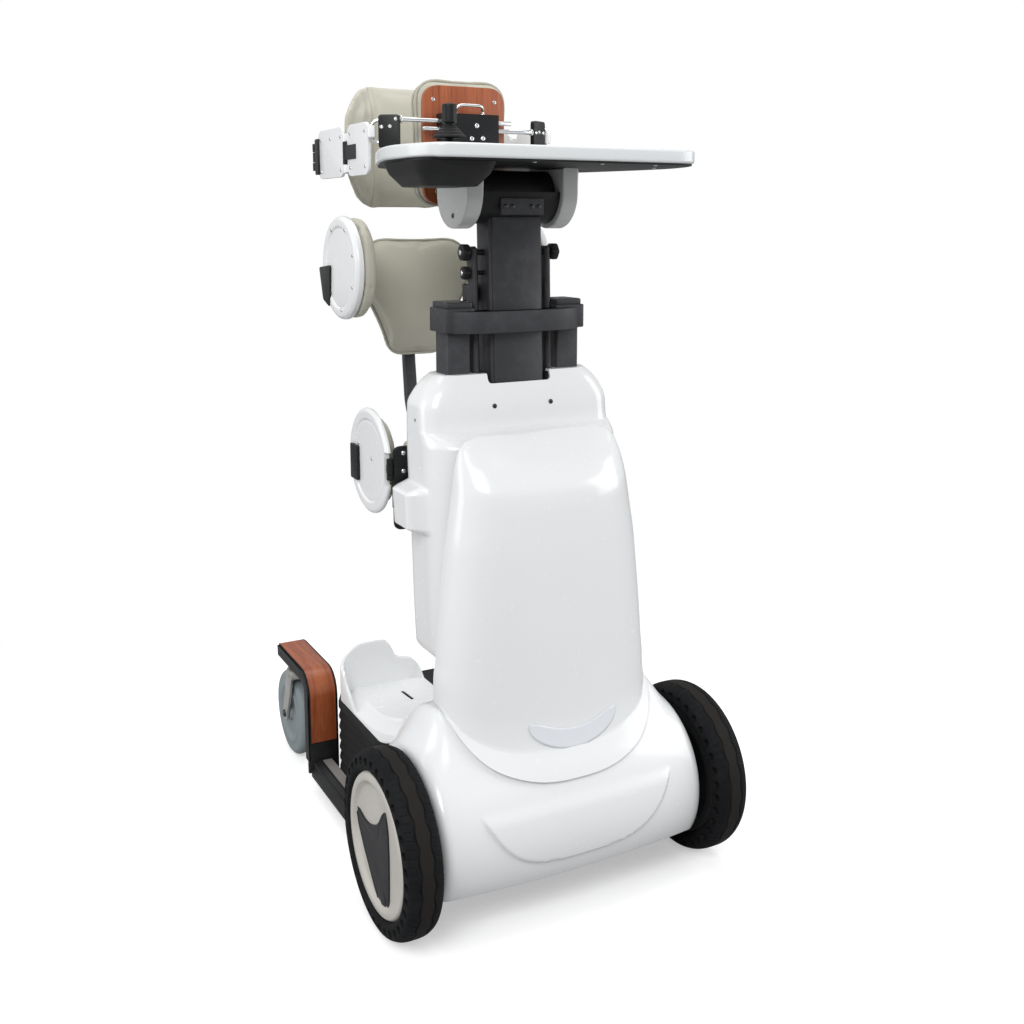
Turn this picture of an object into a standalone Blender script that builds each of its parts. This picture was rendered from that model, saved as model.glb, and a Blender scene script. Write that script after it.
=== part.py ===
"""Powered standing frame: a drive base with two solid tyres and two castors, a telescopic
mast, a tilting table with a joystick, and padded supports for feet, knees, pelvis and chest.

Units are metres and +Z is up. The user stands on the foot shells and faces -Y, the front.
Every piece is drawn in the axle frame: the drive axle lies along X at Y = 0, and Z = 0 is the
floor. One empty then carries the whole machine to the middle of its own footprint.
Pieces of a moving body hang on an empty that stands on that body's joint axis.
"""

import math

import bmesh
import bpy
from mathutils import Matrix, Vector

GAP = 0.0003

# Wheels and footprint
TYRE_RADIUS = 0.150
TYRE_INNER_X = 0.258
TYRE_OUTER_X = 0.320
RIM_RADIUS = 0.1163
TYRE_HOLES = 15
AXLE_Z = TYRE_RADIUS
SHAFT_RADIUS = 0.0115
CASTOR_X = 0.2335
CASTOR_SWIVEL_Y = 0.650
CASTOR_TRAIL = 0.037
CASTOR_RADIUS = 0.090
CASTOR_WIDTH = 0.034
CASTOR_Y = CASTOR_SWIVEL_Y + CASTOR_TRAIL
FOOTPRINT_MIDDLE_Y = (CASTOR_Y + CASTOR_RADIUS - TYRE_RADIUS) / 2

# Chassis
BELLY_Z = (0.045, 0.0565)
PAN_X = 0.262
PAN_Y = (0.250, 0.4965)
PAN_Z = (0.030, 0.098)
ARCH_FRONT_Y = 0.500
ARCH_TOP_Z = 0.240
ARCH_HALF_WIDTH = 0.0315
PLATFORM_X = 0.217
PLATFORM_Y = (0.225, 0.520)
PLATFORM_LOW_Z = 0.058
PLATFORM_TOP_Z = 0.200

# Covers
DRUM_Y = 0.030
DRUM_Z = 0.150
DRUM_RADIUS = 0.155
DRUM_HALF_LENGTH = 0.245
SHELL_WALL = 0.004
BODY_BACK_Y = 0.200

# Mast, which leans back towards the user
MAST_FRONT_Y = 0.105
MAST_PIVOT_Z = 0.866
MAST_LEAN = math.radians(2.06)
COLUMN_HALF_WIDTH = 0.050
COLUMN_BACK_Y = 0.158
COLUMN_TOP_Z = 1.142
COLUMN_FOOT_Z = 0.300
GUIDE_TOP_Z = 0.800
SPINDLE_Y = 0.133
POST_X = (0.084, 0.126)
POST_Y = (0.122, 0.170)

# Head and table
HEAD_Y = 0.148
HEAD_Z = 1.180
HEAD_RADIUS = 0.036
CHEEK_X = (0.074, 0.104)
CHEEK_RADIUS = 0.060
TABLE_LOW_Z = 1.220
TABLE_TOP_Z = 1.244
TABLE_FRONT_Y = -0.080
TABLE_BACK_Y = 0.270
TABLE_HALF_WIDTH = 0.262
JOYSTICK_X = -0.180
JOYSTICK_Y = -0.010
JOYSTICK_PIVOT_Z = 1.236

# Chest and back supports
BLOCK_Y = (0.285, 0.3135)
BOARD_BACK_Y = 0.3225
ROD_Y = 0.300
ROD_Z = (1.307, 1.293)
ROD_RADIUS = 0.004
BRACKET_X = (0.131, 0.160)
ARM_X = 0.175
FRONT_HINGE_Y = 0.322
MIDDLE_HINGE_Y = 0.450
REAR_HINGE_Y = 0.622
PLATE_Z = (1.213, 1.298)

# Pelvis, hips and knees
PELVIC_HINGE = (0.0, 0.236, 0.660)
PELVIC_PAD_Y = 0.520
HIP_DISC = (0.200, 0.438, 1.047)
HIP_DISC_RADIUS = 0.095
KNEE_DISC = (0.200, 0.303, 0.709)
KNEE_DISC_RADIUS = 0.095
KNEE_HINGE_Y = 0.214
FOOT_X = 0.125

WHITE = (0.86, 0.87, 0.87)
BLACK = (0.025, 0.025, 0.027)
STEEL_GREY = (0.065, 0.066, 0.070)
LEATHERETTE = (0.33, 0.32, 0.26)
LAMINATE = (0.47, 0.125, 0.045)
CHROME = (0.80, 0.81, 0.82)
WARM_WHITE = (0.62, 0.59, 0.54)
RUBBER = (0.018, 0.018, 0.018)
PAN_GREY = (0.24, 0.23, 0.21)
CASTOR_BLUE = (0.25, 0.29, 0.32)


def clear_scene():
    for obj in list(bpy.data.objects):
        bpy.data.objects.remove(obj, do_unlink=True)


def make_collection(name):
    collection = bpy.data.collections.new(name)
    bpy.context.scene.collection.children.link(collection)
    return collection


clear_scene()
PARTS = make_collection("standing_frame")
CUTTERS = make_collection("cutters")


PIVOTS = {}


def make_empty(name, location, parent=None, lean=0.0):
    """An empty on a joint's axis. Its pieces are drawn in the axle frame and then hung on it,
    so a leaning empty leans them about its own place."""
    place = Matrix.Translation(location) @ Matrix.Rotation(-lean, 4, "X")
    empty = bpy.data.objects.new(name, None)
    empty.empty_display_size = 0.03
    empty.parent = parent
    empty.matrix_basis = PIVOTS[parent.name].inverted() @ place if parent else place
    PIVOTS[name] = place
    PARTS.objects.link(empty)
    return empty


ORIGIN = make_empty("footprint_middle", (0.0, 0.0, 0.0))
ORIGIN.location.y = -FOOTPRINT_MIDDLE_Y


def paint(obj, colour, roughness=0.5, metallic=0.0):
    material = bpy.data.materials.new(obj.name)
    material.use_nodes = True
    shader = material.node_tree.nodes["Principled BSDF"]
    shader.inputs["Base Color"].default_value = (*colour, 1.0)
    shader.inputs["Roughness"].default_value = roughness
    shader.inputs["Metallic"].default_value = metallic
    material.diffuse_color = (*colour, 1.0)
    obj.data.materials.clear()
    obj.data.materials.append(material)


def hang(obj, pivot):
    """Parents obj, and every cutter that its modifiers use, to the pivot without moving it."""
    if obj.parent is not None:
        return
    obj.parent = pivot
    obj.location = obj.location - PIVOTS[pivot.name].translation
    for modifier in obj.modifiers:
        if modifier.type == "BOOLEAN":
            hang(modifier.object, pivot)


def finish(obj, name, pivot, colour, roughness=0.5, metallic=0.0):
    """Gives a piece its node name, its material and its place on a body."""
    obj.name = name
    obj.data.name = name
    paint(obj, colour, roughness, metallic)
    hang(obj, pivot)
    return obj


def object_from(bm, name="piece", recalculate=True):
    if recalculate:
        bmesh.ops.recalc_face_normals(bm, faces=bm.faces[:])
    mesh = bpy.data.meshes.new(name)
    bm.to_mesh(mesh)
    bm.free()
    obj = bpy.data.objects.new(name, mesh)
    PARTS.objects.link(obj)
    return obj


def smooth(obj, degrees=35.0):
    obj.data.shade_smooth()
    obj.data.set_sharp_from_angle(angle=math.radians(degrees))
    return obj


def bevel(obj, width, segments=2):
    modifier = obj.modifiers.new("rounded_edges", "BEVEL")
    modifier.width = width
    modifier.segments = segments
    modifier.limit_method = "ANGLE"
    modifier.angle_limit = math.radians(40.0)
    return obj


def box(low, high, edge=0.0, segments=1):
    """A block between two corners, with rounded edges where edge is given."""
    bm = bmesh.new()
    bmesh.ops.create_cube(bm, size=1.0)
    size = [b - a for a, b in zip(low, high)]
    middle = [(a + b) / 2 for a, b in zip(low, high)]
    bmesh.ops.scale(bm, vec=size, verts=bm.verts)
    bmesh.ops.translate(bm, vec=middle, verts=bm.verts)
    obj = object_from(bm)
    return bevel(obj, edge, segments) if edge else obj


def span(side, near, far):
    """The two X values of a piece that lies between near and far on one side."""
    return sorted((side * near, side * far))


def side_box(side, x, y, z, edge=0.0, segments=1):
    near, far = span(side, *x)
    return box((near, y[0], z[0]), (far, y[1], z[1]), edge, segments)


def along(start, end):
    """The matrix that lays a +Z piece from start to end, centred between them."""
    direction = Vector(end) - Vector(start)
    middle = (Vector(start) + Vector(end)) / 2
    return Matrix.Translation(middle) @ direction.to_track_quat("Z", "Y").to_matrix().to_4x4()


def cylinder(start, end, radius, segments=20, end_radius=None):
    bm = bmesh.new()
    length = (Vector(end) - Vector(start)).length
    tip = radius if end_radius is None else end_radius
    bmesh.ops.create_cone(
        bm, cap_ends=True, segments=segments, radius1=radius, radius2=tip, depth=length
    )
    bmesh.ops.transform(bm, matrix=along(start, end), verts=bm.verts)
    return smooth(object_from(bm))


def turned(profile, centre, axis, steps=32):
    """A turned piece: the profile is (radius, height) down its outer side, top to bottom.
    A profile that ends where it starts makes a ring. axis is the direction in which its height grows."""
    mesh = bpy.data.meshes.new("profile")
    points = [(radius, 0.0, height) for radius, height in profile]
    edges = [(i, i + 1) for i in range(len(points) - 1)]
    if points[0] == points[-1]:
        points.pop()
        edges[-1] = (len(points) - 1, 0)
    mesh.from_pydata(points, edges, [])
    obj = bpy.data.objects.new("turned", mesh)
    PARTS.objects.link(obj)
    screw = obj.modifiers.new("turn", "SCREW")
    screw.axis = "Z"
    screw.steps = steps
    screw.render_steps = steps
    screw.use_merge_vertices = True
    screw.merge_threshold = 0.00001
    screw.use_smooth_shade = True
    obj.location = Vector(centre)
    obj.rotation_euler = Vector(axis).to_track_quat("Z", "Y").to_euler()
    return obj


def outline_solid(outer, thickness, matrix, holes=()):
    """A flat outline with a thickness: drawn in its own XY plane, then placed by the matrix."""
    curve = bpy.data.curves.new("outline", "CURVE")
    curve.dimensions = "2D"
    curve.fill_mode = "BOTH"
    curve.extrude = thickness / 2
    for loop in (outer, *holes):
        spline = curve.splines.new("POLY")
        spline.points.add(len(loop) - 1)
        for point, (x, y) in zip(spline.points, loop):
            point.co = (x, y, 0.0, 1.0)
        spline.use_cyclic_u = True
    obj = bpy.data.objects.new("outline", curve)
    PARTS.objects.link(obj)
    obj.matrix_world = matrix
    return meshed(obj)


def tube(points, radius, resolution=1, cyclic=False):
    """A round rod along a list of points, as a mesh with welded caps."""
    curve = bpy.data.curves.new("rod", "CURVE")
    curve.dimensions = "3D"
    curve.bevel_depth = radius
    curve.bevel_resolution = resolution
    curve.use_fill_caps = True
    spline = curve.splines.new("POLY")
    spline.points.add(len(points) - 1)
    for point, place in zip(spline.points, points):
        point.co = (*place, 1.0)
    spline.use_cyclic_u = cyclic
    obj = bpy.data.objects.new("rod", curve)
    PARTS.objects.link(obj)
    return smooth(meshed(obj))


def meshed(obj):
    """A mesh object in place of obj, with its modifiers applied and its seams welded."""
    bpy.context.view_layer.update()
    source = obj.evaluated_get(bpy.context.evaluated_depsgraph_get())
    mesh = bpy.data.meshes.new_from_object(source)
    bm = bmesh.new()
    bm.from_mesh(mesh)
    bmesh.ops.remove_doubles(bm, verts=bm.verts, dist=0.000005)
    bm.to_mesh(mesh)
    bm.free()
    result = bpy.data.objects.new(obj.name, mesh)
    PARTS.objects.link(result)
    result.matrix_world = obj.matrix_world.copy()
    bpy.data.objects.remove(obj, do_unlink=True)
    return result


def group(*pieces):
    """Several solids as one mesh, for use as one cutter."""
    bm = bmesh.new()
    for piece in pieces:
        solid = meshed(piece)
        solid.data.transform(solid.matrix_world)
        bm.from_mesh(solid.data)
        bpy.data.objects.remove(solid, do_unlink=True)
    return object_from(bm, recalculate=False)


def combine(obj, operation, tools):
    for tool in tools:
        modifier = obj.modifiers.new(operation.lower(), "BOOLEAN")
        modifier.operation = operation
        modifier.solver = "EXACT"
        modifier.object = tool
        tool.hide_render = True
        tool.display_type = "WIRE"
        PARTS.objects.unlink(tool)
        CUTTERS.objects.link(tool)
    return obj


def cut(obj, *tools):
    return combine(obj, "DIFFERENCE", tools)


def weld(obj, *tools):
    return combine(obj, "UNION", tools)


def keep(obj, *tools):
    return combine(obj, "INTERSECT", tools)


def grid_surface(rows, closed=False):
    """A skin over rows of points. A closed grid joins each row's end to its start."""
    bm = bmesh.new()
    verts = [[bm.verts.new(point) for point in row] for row in rows]
    columns = len(rows[0])
    last = columns if closed else columns - 1
    for lower, upper in zip(verts, verts[1:]):
        for i in range(last):
            j = (i + 1) % columns
            bm.faces.new((lower[i], lower[j], upper[j], upper[i]))
    return bm, verts


def loft(rows):
    """A solid through closed rows of points, with flat ends."""
    bm, verts = grid_surface(rows, closed=True)
    bm.faces.new(verts[0])
    bm.faces.new(verts[-1])
    return smooth(object_from(bm))


def shell(rows, wall, outward):
    """A sheet over open rows of points with a wall grown inwards.
    outward is the direction in which the sheet's outermost face looks."""
    bm, verts = grid_surface(rows)
    bm.normal_update()
    outward = Vector(outward)
    outermost = max(bm.faces, key=lambda face: face.calc_center_median().dot(outward))
    if outermost.normal.dot(outward) < 0:
        bmesh.ops.reverse_faces(bm, faces=bm.faces[:])
    obj = smooth(object_from(bm, recalculate=False))
    solidify = obj.modifiers.new("wall", "SOLIDIFY")
    solidify.thickness = wall
    solidify.offset = -1.0
    solidify.use_even_offset = True
    return obj


def arc(centre, radius, start, end, steps):
    """Points of a round stretch in a plane, between two angles in degrees."""
    points = []
    for i in range(steps + 1):
        angle = math.radians(start + (end - start) * i / steps)
        points.append(
            (centre[0] + radius * math.cos(angle), centre[1] + radius * math.sin(angle))
        )
    return points


def rounded_rectangle(low, high, radius, steps=3):
    """Points of a rectangle's outline with round corners, anticlockwise."""
    left, right = low[0] + radius, high[0] - radius
    bottom, top = low[1] + radius, high[1] - radius
    return (
        arc((right, bottom), radius, -90, 0, steps)
        + arc((right, top), radius, 0, 90, steps)
        + arc((left, top), radius, 90, 180, steps)
        + arc((left, bottom), radius, 180, 270, steps)
    )


def superellipse(half_x, half_y, power, count):
    """Points of a rounded box outline: |x/a|^n + |y/b|^n = 1."""
    points = []
    for i in range(count):
        angle = 2 * math.pi * (i + 0.5) / count
        c, s = math.cos(angle), math.sin(angle)
        points.append(
            (
                half_x * math.copysign(abs(c) ** (2 / power), c),
                half_y * math.copysign(abs(s) ** (2 / power), s),
            )
        )
    return points


def lean_matrix():
    pivot = Vector((0.0, MAST_FRONT_Y, MAST_PIVOT_Z))
    turn = Matrix.Rotation(-MAST_LEAN, 4, "X")
    return Matrix.Translation(pivot) @ turn @ Matrix.Translation(-pivot)


def leaned(obj):
    """Leans a piece with the mast, for a fixed piece that has to follow it."""
    obj.matrix_basis = lean_matrix() @ obj.matrix_basis
    return obj


def smooth_step(value):
    t = min(1.0, max(0.0, value))
    return t * t * (3 - 2 * t)


def between(table, position):
    """Reads a row of values from a table of (position, values...), with straight steps."""
    for low, high in zip(table, table[1:]):
        if position <= high[0]:
            t = max(0.0, (position - low[0]) / (high[0] - low[0]))
            return [a + (b - a) * t for a, b in zip(low[1:], high[1:])]
    return list(table[-1][1:])


def swell(value):
    return 1.0 - min(1.0, abs(value)) ** 2.4


def cushion(half_u, half_v, corner, thickness, crown, place, seams_u=(), seams_v=(), taper=None):
    """A soft pad: a rounded rectangle whose sides draw in at a waist and whose face swells by
    the crown, with a channel along every seam. place(u, v, w) sets a point of the pad in the
    frame, with w from the back to the face. taper(u) scales the height v along the width."""
    columns = channel_stops(half_u, seams_u, (0.4, 0.75, 0.93))
    rows = channel_stops(1.0, [v / half_v for v in seams_v], (0.45, 0.85))
    rim = thickness * 0.70

    def edge_v(u):
        inside = max(0.0, abs(u) - (half_u - corner))
        height = half_v - corner + math.sqrt(max(0.0, corner * corner - inside * inside))
        return height * (taper(u) if taper else 1.0)

    def face(u, t):
        height = rim + (thickness - rim + crown) * swell(u / half_u) * swell(t)
        for seam in seams_u:
            height -= crown * 0.6 * math.exp(-(((u - seam) / 0.006) ** 2)) * swell(t)
        for seam in seams_v:
            gap = (t * half_v - seam) / 0.006
            height -= crown * 0.6 * math.exp(-gap * gap) * swell(u / half_u)
        return height

    bm = bmesh.new()

    def sheet(scale, height):
        return [
            [bm.verts.new(place(u * scale, t * edge_v(u) * scale, height(u, t))) for t in rows]
            for u in columns
        ]

    def rim_loop(grid):
        return (
            [column[0] for column in grid]
            + grid[-1][1:]
            + [column[-1] for column in reversed(grid[:-1])]
            + grid[0][-2:0:-1]
        )

    def fill(grid):
        for left, right in zip(grid, grid[1:]):
            for j in range(len(left) - 1):
                bm.faces.new((left[j], right[j], right[j + 1], left[j + 1]))

    top = sheet(1.0, face)
    back = sheet(0.94, lambda u, t: 0.0)
    fill(top)
    fill(back)
    ring_places = [(column, t) for column, t in boundary(columns, rows)]
    loops = [rim_loop(back)]
    for scale, level in ((1.0, 0.16), (0.965, 0.42)):
        loops.append(
            [
                bm.verts.new(place(u * scale, t * edge_v(u) * scale, thickness * level))
                for u, t in ring_places
            ]
        )
    loops.append(rim_loop(top))
    for lower, upper in zip(loops, loops[1:]):
        for i in range(len(lower)):
            j = (i + 1) % len(lower)
            bm.faces.new((lower[i], lower[j], upper[j], upper[i]))
    return smooth(object_from(bm), 60.0)


def channel_stops(half, seams, fractions):
    """Places across a pad: even ones, and three for every channel."""
    stops = {0.0, half, -half}
    stops.update(half * sign * fraction for fraction in fractions for sign in (-1, 1))
    width = 0.05 * half
    for seam in seams:
        stops = {stop for stop in stops if abs(stop - seam) > width * 1.6 or abs(stop) == half}
        stops.update((seam - width, seam, seam + width))
    return sorted(stops)


def boundary(columns, rows):
    """The places around a grid, in the order of its rim loop."""
    return (
        [(u, rows[0]) for u in columns]
        + [(columns[-1], t) for t in rows[1:]]
        + [(u, rows[-1]) for u in reversed(columns[:-1])]
        + [(columns[0], t) for t in rows[-2:0:-1]]
    )


YZ_PLANE = Matrix(((0, 0, 1, 0), (1, 0, 0, 0), (0, 1, 0, 0), (0, 0, 0, 1)))
XZ_PLANE = Matrix(((1, 0, 0, 0), (0, 0, -1, 0), (0, 1, 0, 0), (0, 0, 0, 1)))


def in_yz(x):
    """Draws an outline's first value along Y and its second along Z, at this X."""
    return Matrix.Translation((x, 0, 0)) @ YZ_PLANE


def in_xz(y):
    """Draws an outline's first value along X and its second along Z, at this Y."""
    return Matrix.Translation((0, y, 0)) @ XZ_PLANE


def in_xy(z):
    return Matrix.Translation((0, 0, z))


SIDES = (("l", -1), ("r", 1))


def drum_radius(x):
    return DRUM_RADIUS - 0.014 * (x / DRUM_HALF_LENGTH) ** 2


def drum_point(x, radius, angle):
    """A point of the base cover, with the collar that rises at the sides of the hood."""
    y = DRUM_Y + radius * math.cos(angle)
    z = DRUM_Z + radius * math.sin(angle)
    if z > DRUM_Z:
        z += collar_rise(x, y) * smooth_step((z - DRUM_Z) / 0.08)
    return (x, y, z)


def collar_rise(x, y):
    sideways = smooth_step((0.243 - abs(x)) / 0.050)
    return 0.046 * sideways * smooth_step((y + 0.085) / 0.110)


def drum_height(x, y):
    rise = math.sqrt(max(0.0, drum_radius(x) ** 2 - (y - DRUM_Y) ** 2))
    return DRUM_Z + rise + collar_rise(x, y) * smooth_step(rise / 0.08)


def panel_step(x, angle):
    """The raised front panel: how far the base cover stands proud at this place."""
    z = DRUM_Z + DRUM_RADIUS * math.sin(angle)
    low = 0.113 + 0.125 * (abs(x) / 0.190) ** 4
    inside = angle > math.pi / 2 and abs(x) < 0.192 and z > low
    return 0.0025 * (1.0 - smooth_step((z - 0.195) / 0.025)) if inside else 0.0


def drum_rows(clearance=0.0):
    """Arcs of the base cover, one after another along X. The end walls step inwards."""
    ends = [(-0.2475, 0.076), (-0.2475, 0.123), (-0.2430, 0.136), (-0.2330, 0.1420)]
    middle = [-0.218, -0.193, -0.190, -0.150, -0.080, 0.0]
    stations = ends + [(x, drum_radius(x)) for x in middle]
    stations += [(-x, radius) for x, radius in reversed(stations[:-1])]
    rows = []
    for x, radius in stations:
        drop = math.asin(min(0.95, 0.070 / radius))
        angles = [-drop + (math.pi + 2 * drop) * i / 14 for i in range(15)]
        rows.append(
            [drum_point(x, radius + clearance + panel_step(x, angle), angle) for angle in angles]
        )
    return rows


def make_base_cover():
    """The drum over the drive axle: open below, with a ring-shaped wall at either end."""
    cover = shell(drum_rows(), SHELL_WALL, (0, 0, 1))
    openings = [box((-0.150, -0.050, 0.250), (0.150, 0.172, 0.400))]
    for name, side in SIDES:
        openings.append(side_box(side, (0.0825, 0.1275), (0.110, 0.1735), (0.050, 0.300)))
    cut(cover, *openings)
    return finish(cover, "base_cover", ORIGIN, WHITE, 0.28)


HOOD_TABLE = (
    (0.228, 0.1960, -0.105),
    (0.240, 0.1962, -0.088),
    (0.262, 0.1962, -0.075),
    (0.330, 0.1960, -0.064),
    (0.600, 0.1750, -0.055),
    (0.660, 0.1660, -0.050),
    (0.700, 0.1600, -0.045),
    (0.738, 0.1550, -0.022),
    (0.765, 0.1480, 0.006),
    (0.782, 0.1350, 0.022),
    (0.790, 0.1150, 0.030),
)
HOOD_EDGE_Y = 0.037


def hood_curve(half, front, count):
    """A bow from the hood's right edge round its front to its left edge, seen from above."""
    points = []
    for i in range(count + 1):
        angle = math.pi * i / count
        c, s = math.cos(angle), math.sin(angle)
        x = half * math.copysign(abs(c) ** 0.8, c)
        points.append((x, HOOD_EDGE_Y - (HOOD_EDGE_Y - front) * abs(s) ** 0.8))
    return points


def make_front_hood():
    """The bowed front cover. Its lower edge follows the drum and flares into a lip."""
    lip = hood_curve(0.196, HOOD_TABLE[0][2], 10)
    rows = [[(x, y, drum_height(x, y) - 0.015) for x, y in lip]]
    for level, half, front in HOOD_TABLE:
        row = []
        for (x, y), foot in zip(hood_curve(half, front, 10), lip):
            low = drum_height(*foot) + 0.003
            share = min(1.0, (level - 0.228) / (0.420 - 0.228))
            z = low + share * (0.420 - low) if level < 0.420 else level
            row.append((x, y, max(z, drum_height(x, y) + 0.004)))
        rows.append(row)
    inner_rows = []
    for level, half, front in ((0.150, 0.196, -0.064),) + HOOD_TABLE[3:]:
        bow = hood_curve(half - SHELL_WALL, max(front, -0.064) + SHELL_WALL, 10)
        behind = [(bow[-1][0], 0.060), (bow[0][0], 0.060)]
        inner_rows.append([(x, y, level - SHELL_WALL) for x, y in bow + behind])
    hood = cut(loft(rows), loft(inner_rows), loft(drum_rows(0.0010)[3:-3]))
    return finish(hood, "front_hood", ORIGIN, WHITE, 0.28)


BODY_TABLE = (
    (0.398, 0.1600, 0.048),
    (0.410, 0.1680, 0.0405),
    (0.600, 0.1740, 0.0405),
    (0.765, 0.1800, 0.0405),
    (0.780, 0.1800, 0.0520),
    (0.789, 0.1800, 0.0860),
    (0.827, 0.1790, 0.0910),
    (0.850, 0.1700, 0.0965),
    (0.868, 0.1580, 0.1030),
    (0.880, 0.1440, 0.1080),
)


def body_skin(inset, low, high):
    rows = []
    for level, half, front in BODY_TABLE:
        back = BODY_BACK_Y - inset
        if level > 0.84:
            back -= (level - 0.84) * 0.35
        outline = rounded_rectangle(
            (-half + inset, front + inset), (half - inset, back), 0.036 - inset, 2
        )
        z = low if level == BODY_TABLE[0][0] else high if level == BODY_TABLE[-1][0] else level
        rows.append([(x, y, z) for x, y in outline])
    return loft(rows)


def lobe_box(side, grow=0.0):
    return side_box(
        side,
        (0.150 - grow, 0.206 + grow),
        (0.105 - grow, 0.198 + grow),
        (0.622 - grow, 0.690 + grow),
        edge=0.012,
        segments=2,
    )


def body_shell():
    """The upper body with its knee lobes, hollow, open below and notched on top."""
    outer = body_skin(0.0, 0.398, 0.880)
    lobes = [lobe_box(side) for name, side in SIDES]
    inner = body_skin(SHELL_WALL, 0.380, 0.8755)
    channels = [
        side_box(side, (0.1762, 0.1918), (0.120, 0.230), (0.6402, 0.6718)) for name, side in SIDES
    ]
    notches = [
        leaned(box((-0.0600, 0.060, 0.840), (0.0600, 0.1615, 0.950))),
        leaned(box((-0.0785, 0.1200, 0.840), (0.0785, 0.1500, 0.950))),
    ]
    for name, side in SIDES:
        notches.append(side_box(side, (0.0830, 0.1270), (0.121, 0.171), (0.840, 0.950)))
    weld(outer, *lobes)
    return cut(outer, inner, *channels, *notches)


def make_upper_covers():
    front = cut(body_shell(), box((-0.30, 0.1885, 0.30), (0.30, 0.30, 0.95)))
    finish(front, "upper_cover", ORIGIN, WHITE, 0.28)
    rear = keep(body_shell(), box((-0.30, 0.1888, 0.30), (0.30, 0.30, 0.95)))
    cut(rear, box((-0.023, 0.180, 0.600), (0.023, 0.240, 0.720)))
    for name, side in SIDES:
        cut(rear, lobe_box(side, 0.0004))
    finish(rear, "rear_cover", ORIGIN, WHITE, 0.28)


def make_base_frame():
    """The welded steel frame: belly plate, beams to the castors and the mast guide."""
    low, high = BELLY_Z
    frame = box((-0.195, -0.080, low), (0.195, 0.200, high), 0.002)
    pieces = [box((-0.2555, 0.190, low), (0.2555, 0.249, high), 0.002)]
    for name, side in SIDES:
        pieces.append(side_box(side, (0.222, 0.2550), (0.230, 0.5030), (low - 0.006, high - 0.001)))
        pieces += castor_arch(side)
    guide_low, guide_high = 0.050, GUIDE_TOP_Z
    pieces.append(leaned(box((-0.0620, 0.0985, guide_low), (0.0620, 0.1705, guide_high), 0.003)))
    hinge_y, hinge_z = PELVIC_HINGE[1:]
    for name, side in SIDES:
        pieces.append(side_box(side, (0.0133, 0.0195), (0.158, 0.246), (0.648, 0.672)))
    pieces.append(cylinder((-0.018, hinge_y, hinge_z), (0.018, hinge_y, hinge_z), 0.0060, 10))
    weld(frame, *pieces)
    well = leaned(box((-0.0508, 0.1046, 0.070), (0.0508, 0.1588, 0.900)))
    stems = [
        cylinder(
            (side * CASTOR_X, CASTOR_SWIVEL_Y, 0.195), (side * CASTOR_X, CASTOR_SWIVEL_Y, 0.230),
            0.0085, 12,
        )
        for name, side in SIDES
    ]
    cut(frame, well, *stems)
    return finish(frame, "base_frame", ORIGIN, BLACK, 0.45)


def make_floor_pan():
    low, high = PAN_Z
    pan = box((-PAN_X, PAN_Y[0], low), (PAN_X, PAN_Y[1], high), 0.004)
    inner = box(
        (-PAN_X + 0.006, PAN_Y[0] - 0.010, low + 0.006), (PAN_X - 0.006, 0.600, high + 0.020)
    )
    cut(pan, inner)
    return finish(pan, "floor_pan", ORIGIN, PAN_GREY, 0.5)


def make_power_pack():
    """Two batteries on a tray, with the controller strapped across them."""
    floor = BELLY_Z[1] + GAP
    tray = box((-0.1080, -0.0790, floor), (0.1080, 0.0460, floor + 0.012), 0.002)
    batteries = [
        box((-0.1060, -0.0775, floor + 0.002), (-0.0020, 0.0445, 0.188), 0.004),
        box((0.0020, -0.0775, floor + 0.003), (0.1060, 0.0445, 0.188), 0.004),
    ]
    controller = box((-0.0800, -0.0500, 0.1860), (0.0800, 0.0350, 0.222), 0.003)
    return finish(weld(tray, *batteries, controller), "power_pack", ORIGIN, BLACK, 0.6)


def make_gear_motors():
    """The two motors stand on one mounting bar, each with its wheel shaft."""
    floor = BELLY_Z[1] + GAP
    bar = box((-0.2050, 0.0490, floor), (0.2050, 0.0620, 0.0760))
    pieces = []
    for name, side in SIDES:
        pieces += [
            cylinder((side * 0.118, 0, AXLE_Z), (side * 0.232, 0, AXLE_Z), 0.042, 14),
            side_box(side, (0.130, 0.2045), (-0.030, 0.0560), (floor + 0.0005, 0.115)),
            cylinder((side * 0.225, 0, AXLE_Z), (side * 0.2490, 0, AXLE_Z), 0.030, 12),
            cylinder((side * 0.240, 0, AXLE_Z), (side * 0.2985, 0, AXLE_Z), SHAFT_RADIUS, 12),
        ]
    return finish(weld(bar, *pieces), "gear_motors", ORIGIN, STEEL_GREY, 0.4, 0.6)


def arch_band(side, low, outside, thickness, half_width, back):
    """A bent strip over a castor: up the front, round the corner and back along the top."""
    front, top = ARCH_FRONT_Y - outside, ARCH_TOP_Z + outside
    radius = 0.046 + outside
    corner = (front + radius, top - radius)
    outer = [(front, low)] + arc(corner, radius, 180, 90, 5) + [(back, top)]
    inner_radius = radius - thickness
    inner = [(back, top - thickness)] + arc(corner, inner_radius, 90, 180, 5)
    inner.append((front + thickness, low))
    return outline_solid(outer + inner, 2 * half_width, in_yz(side * CASTOR_X))


def castor_arch(side):
    """One arch of the frame with the swivel bearing under its top."""
    x, y = side * CASTOR_X, CASTOR_SWIVEL_Y
    band = arch_band(side, 0.036, 0.0, 0.007, ARCH_HALF_WIDTH, 0.700)
    hub = cylinder((x, y, 0.2010), (x, y, 0.2350), 0.021, 12)
    return [band, hub]


def make_castor_veneer(name, side):
    veneer = arch_band(side, 0.100, 0.0030, 0.0030 - GAP, 0.0275, 0.700)
    return finish(veneer, "castor_veneer_" + name, ORIGIN, LAMINATE, 0.35)


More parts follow.
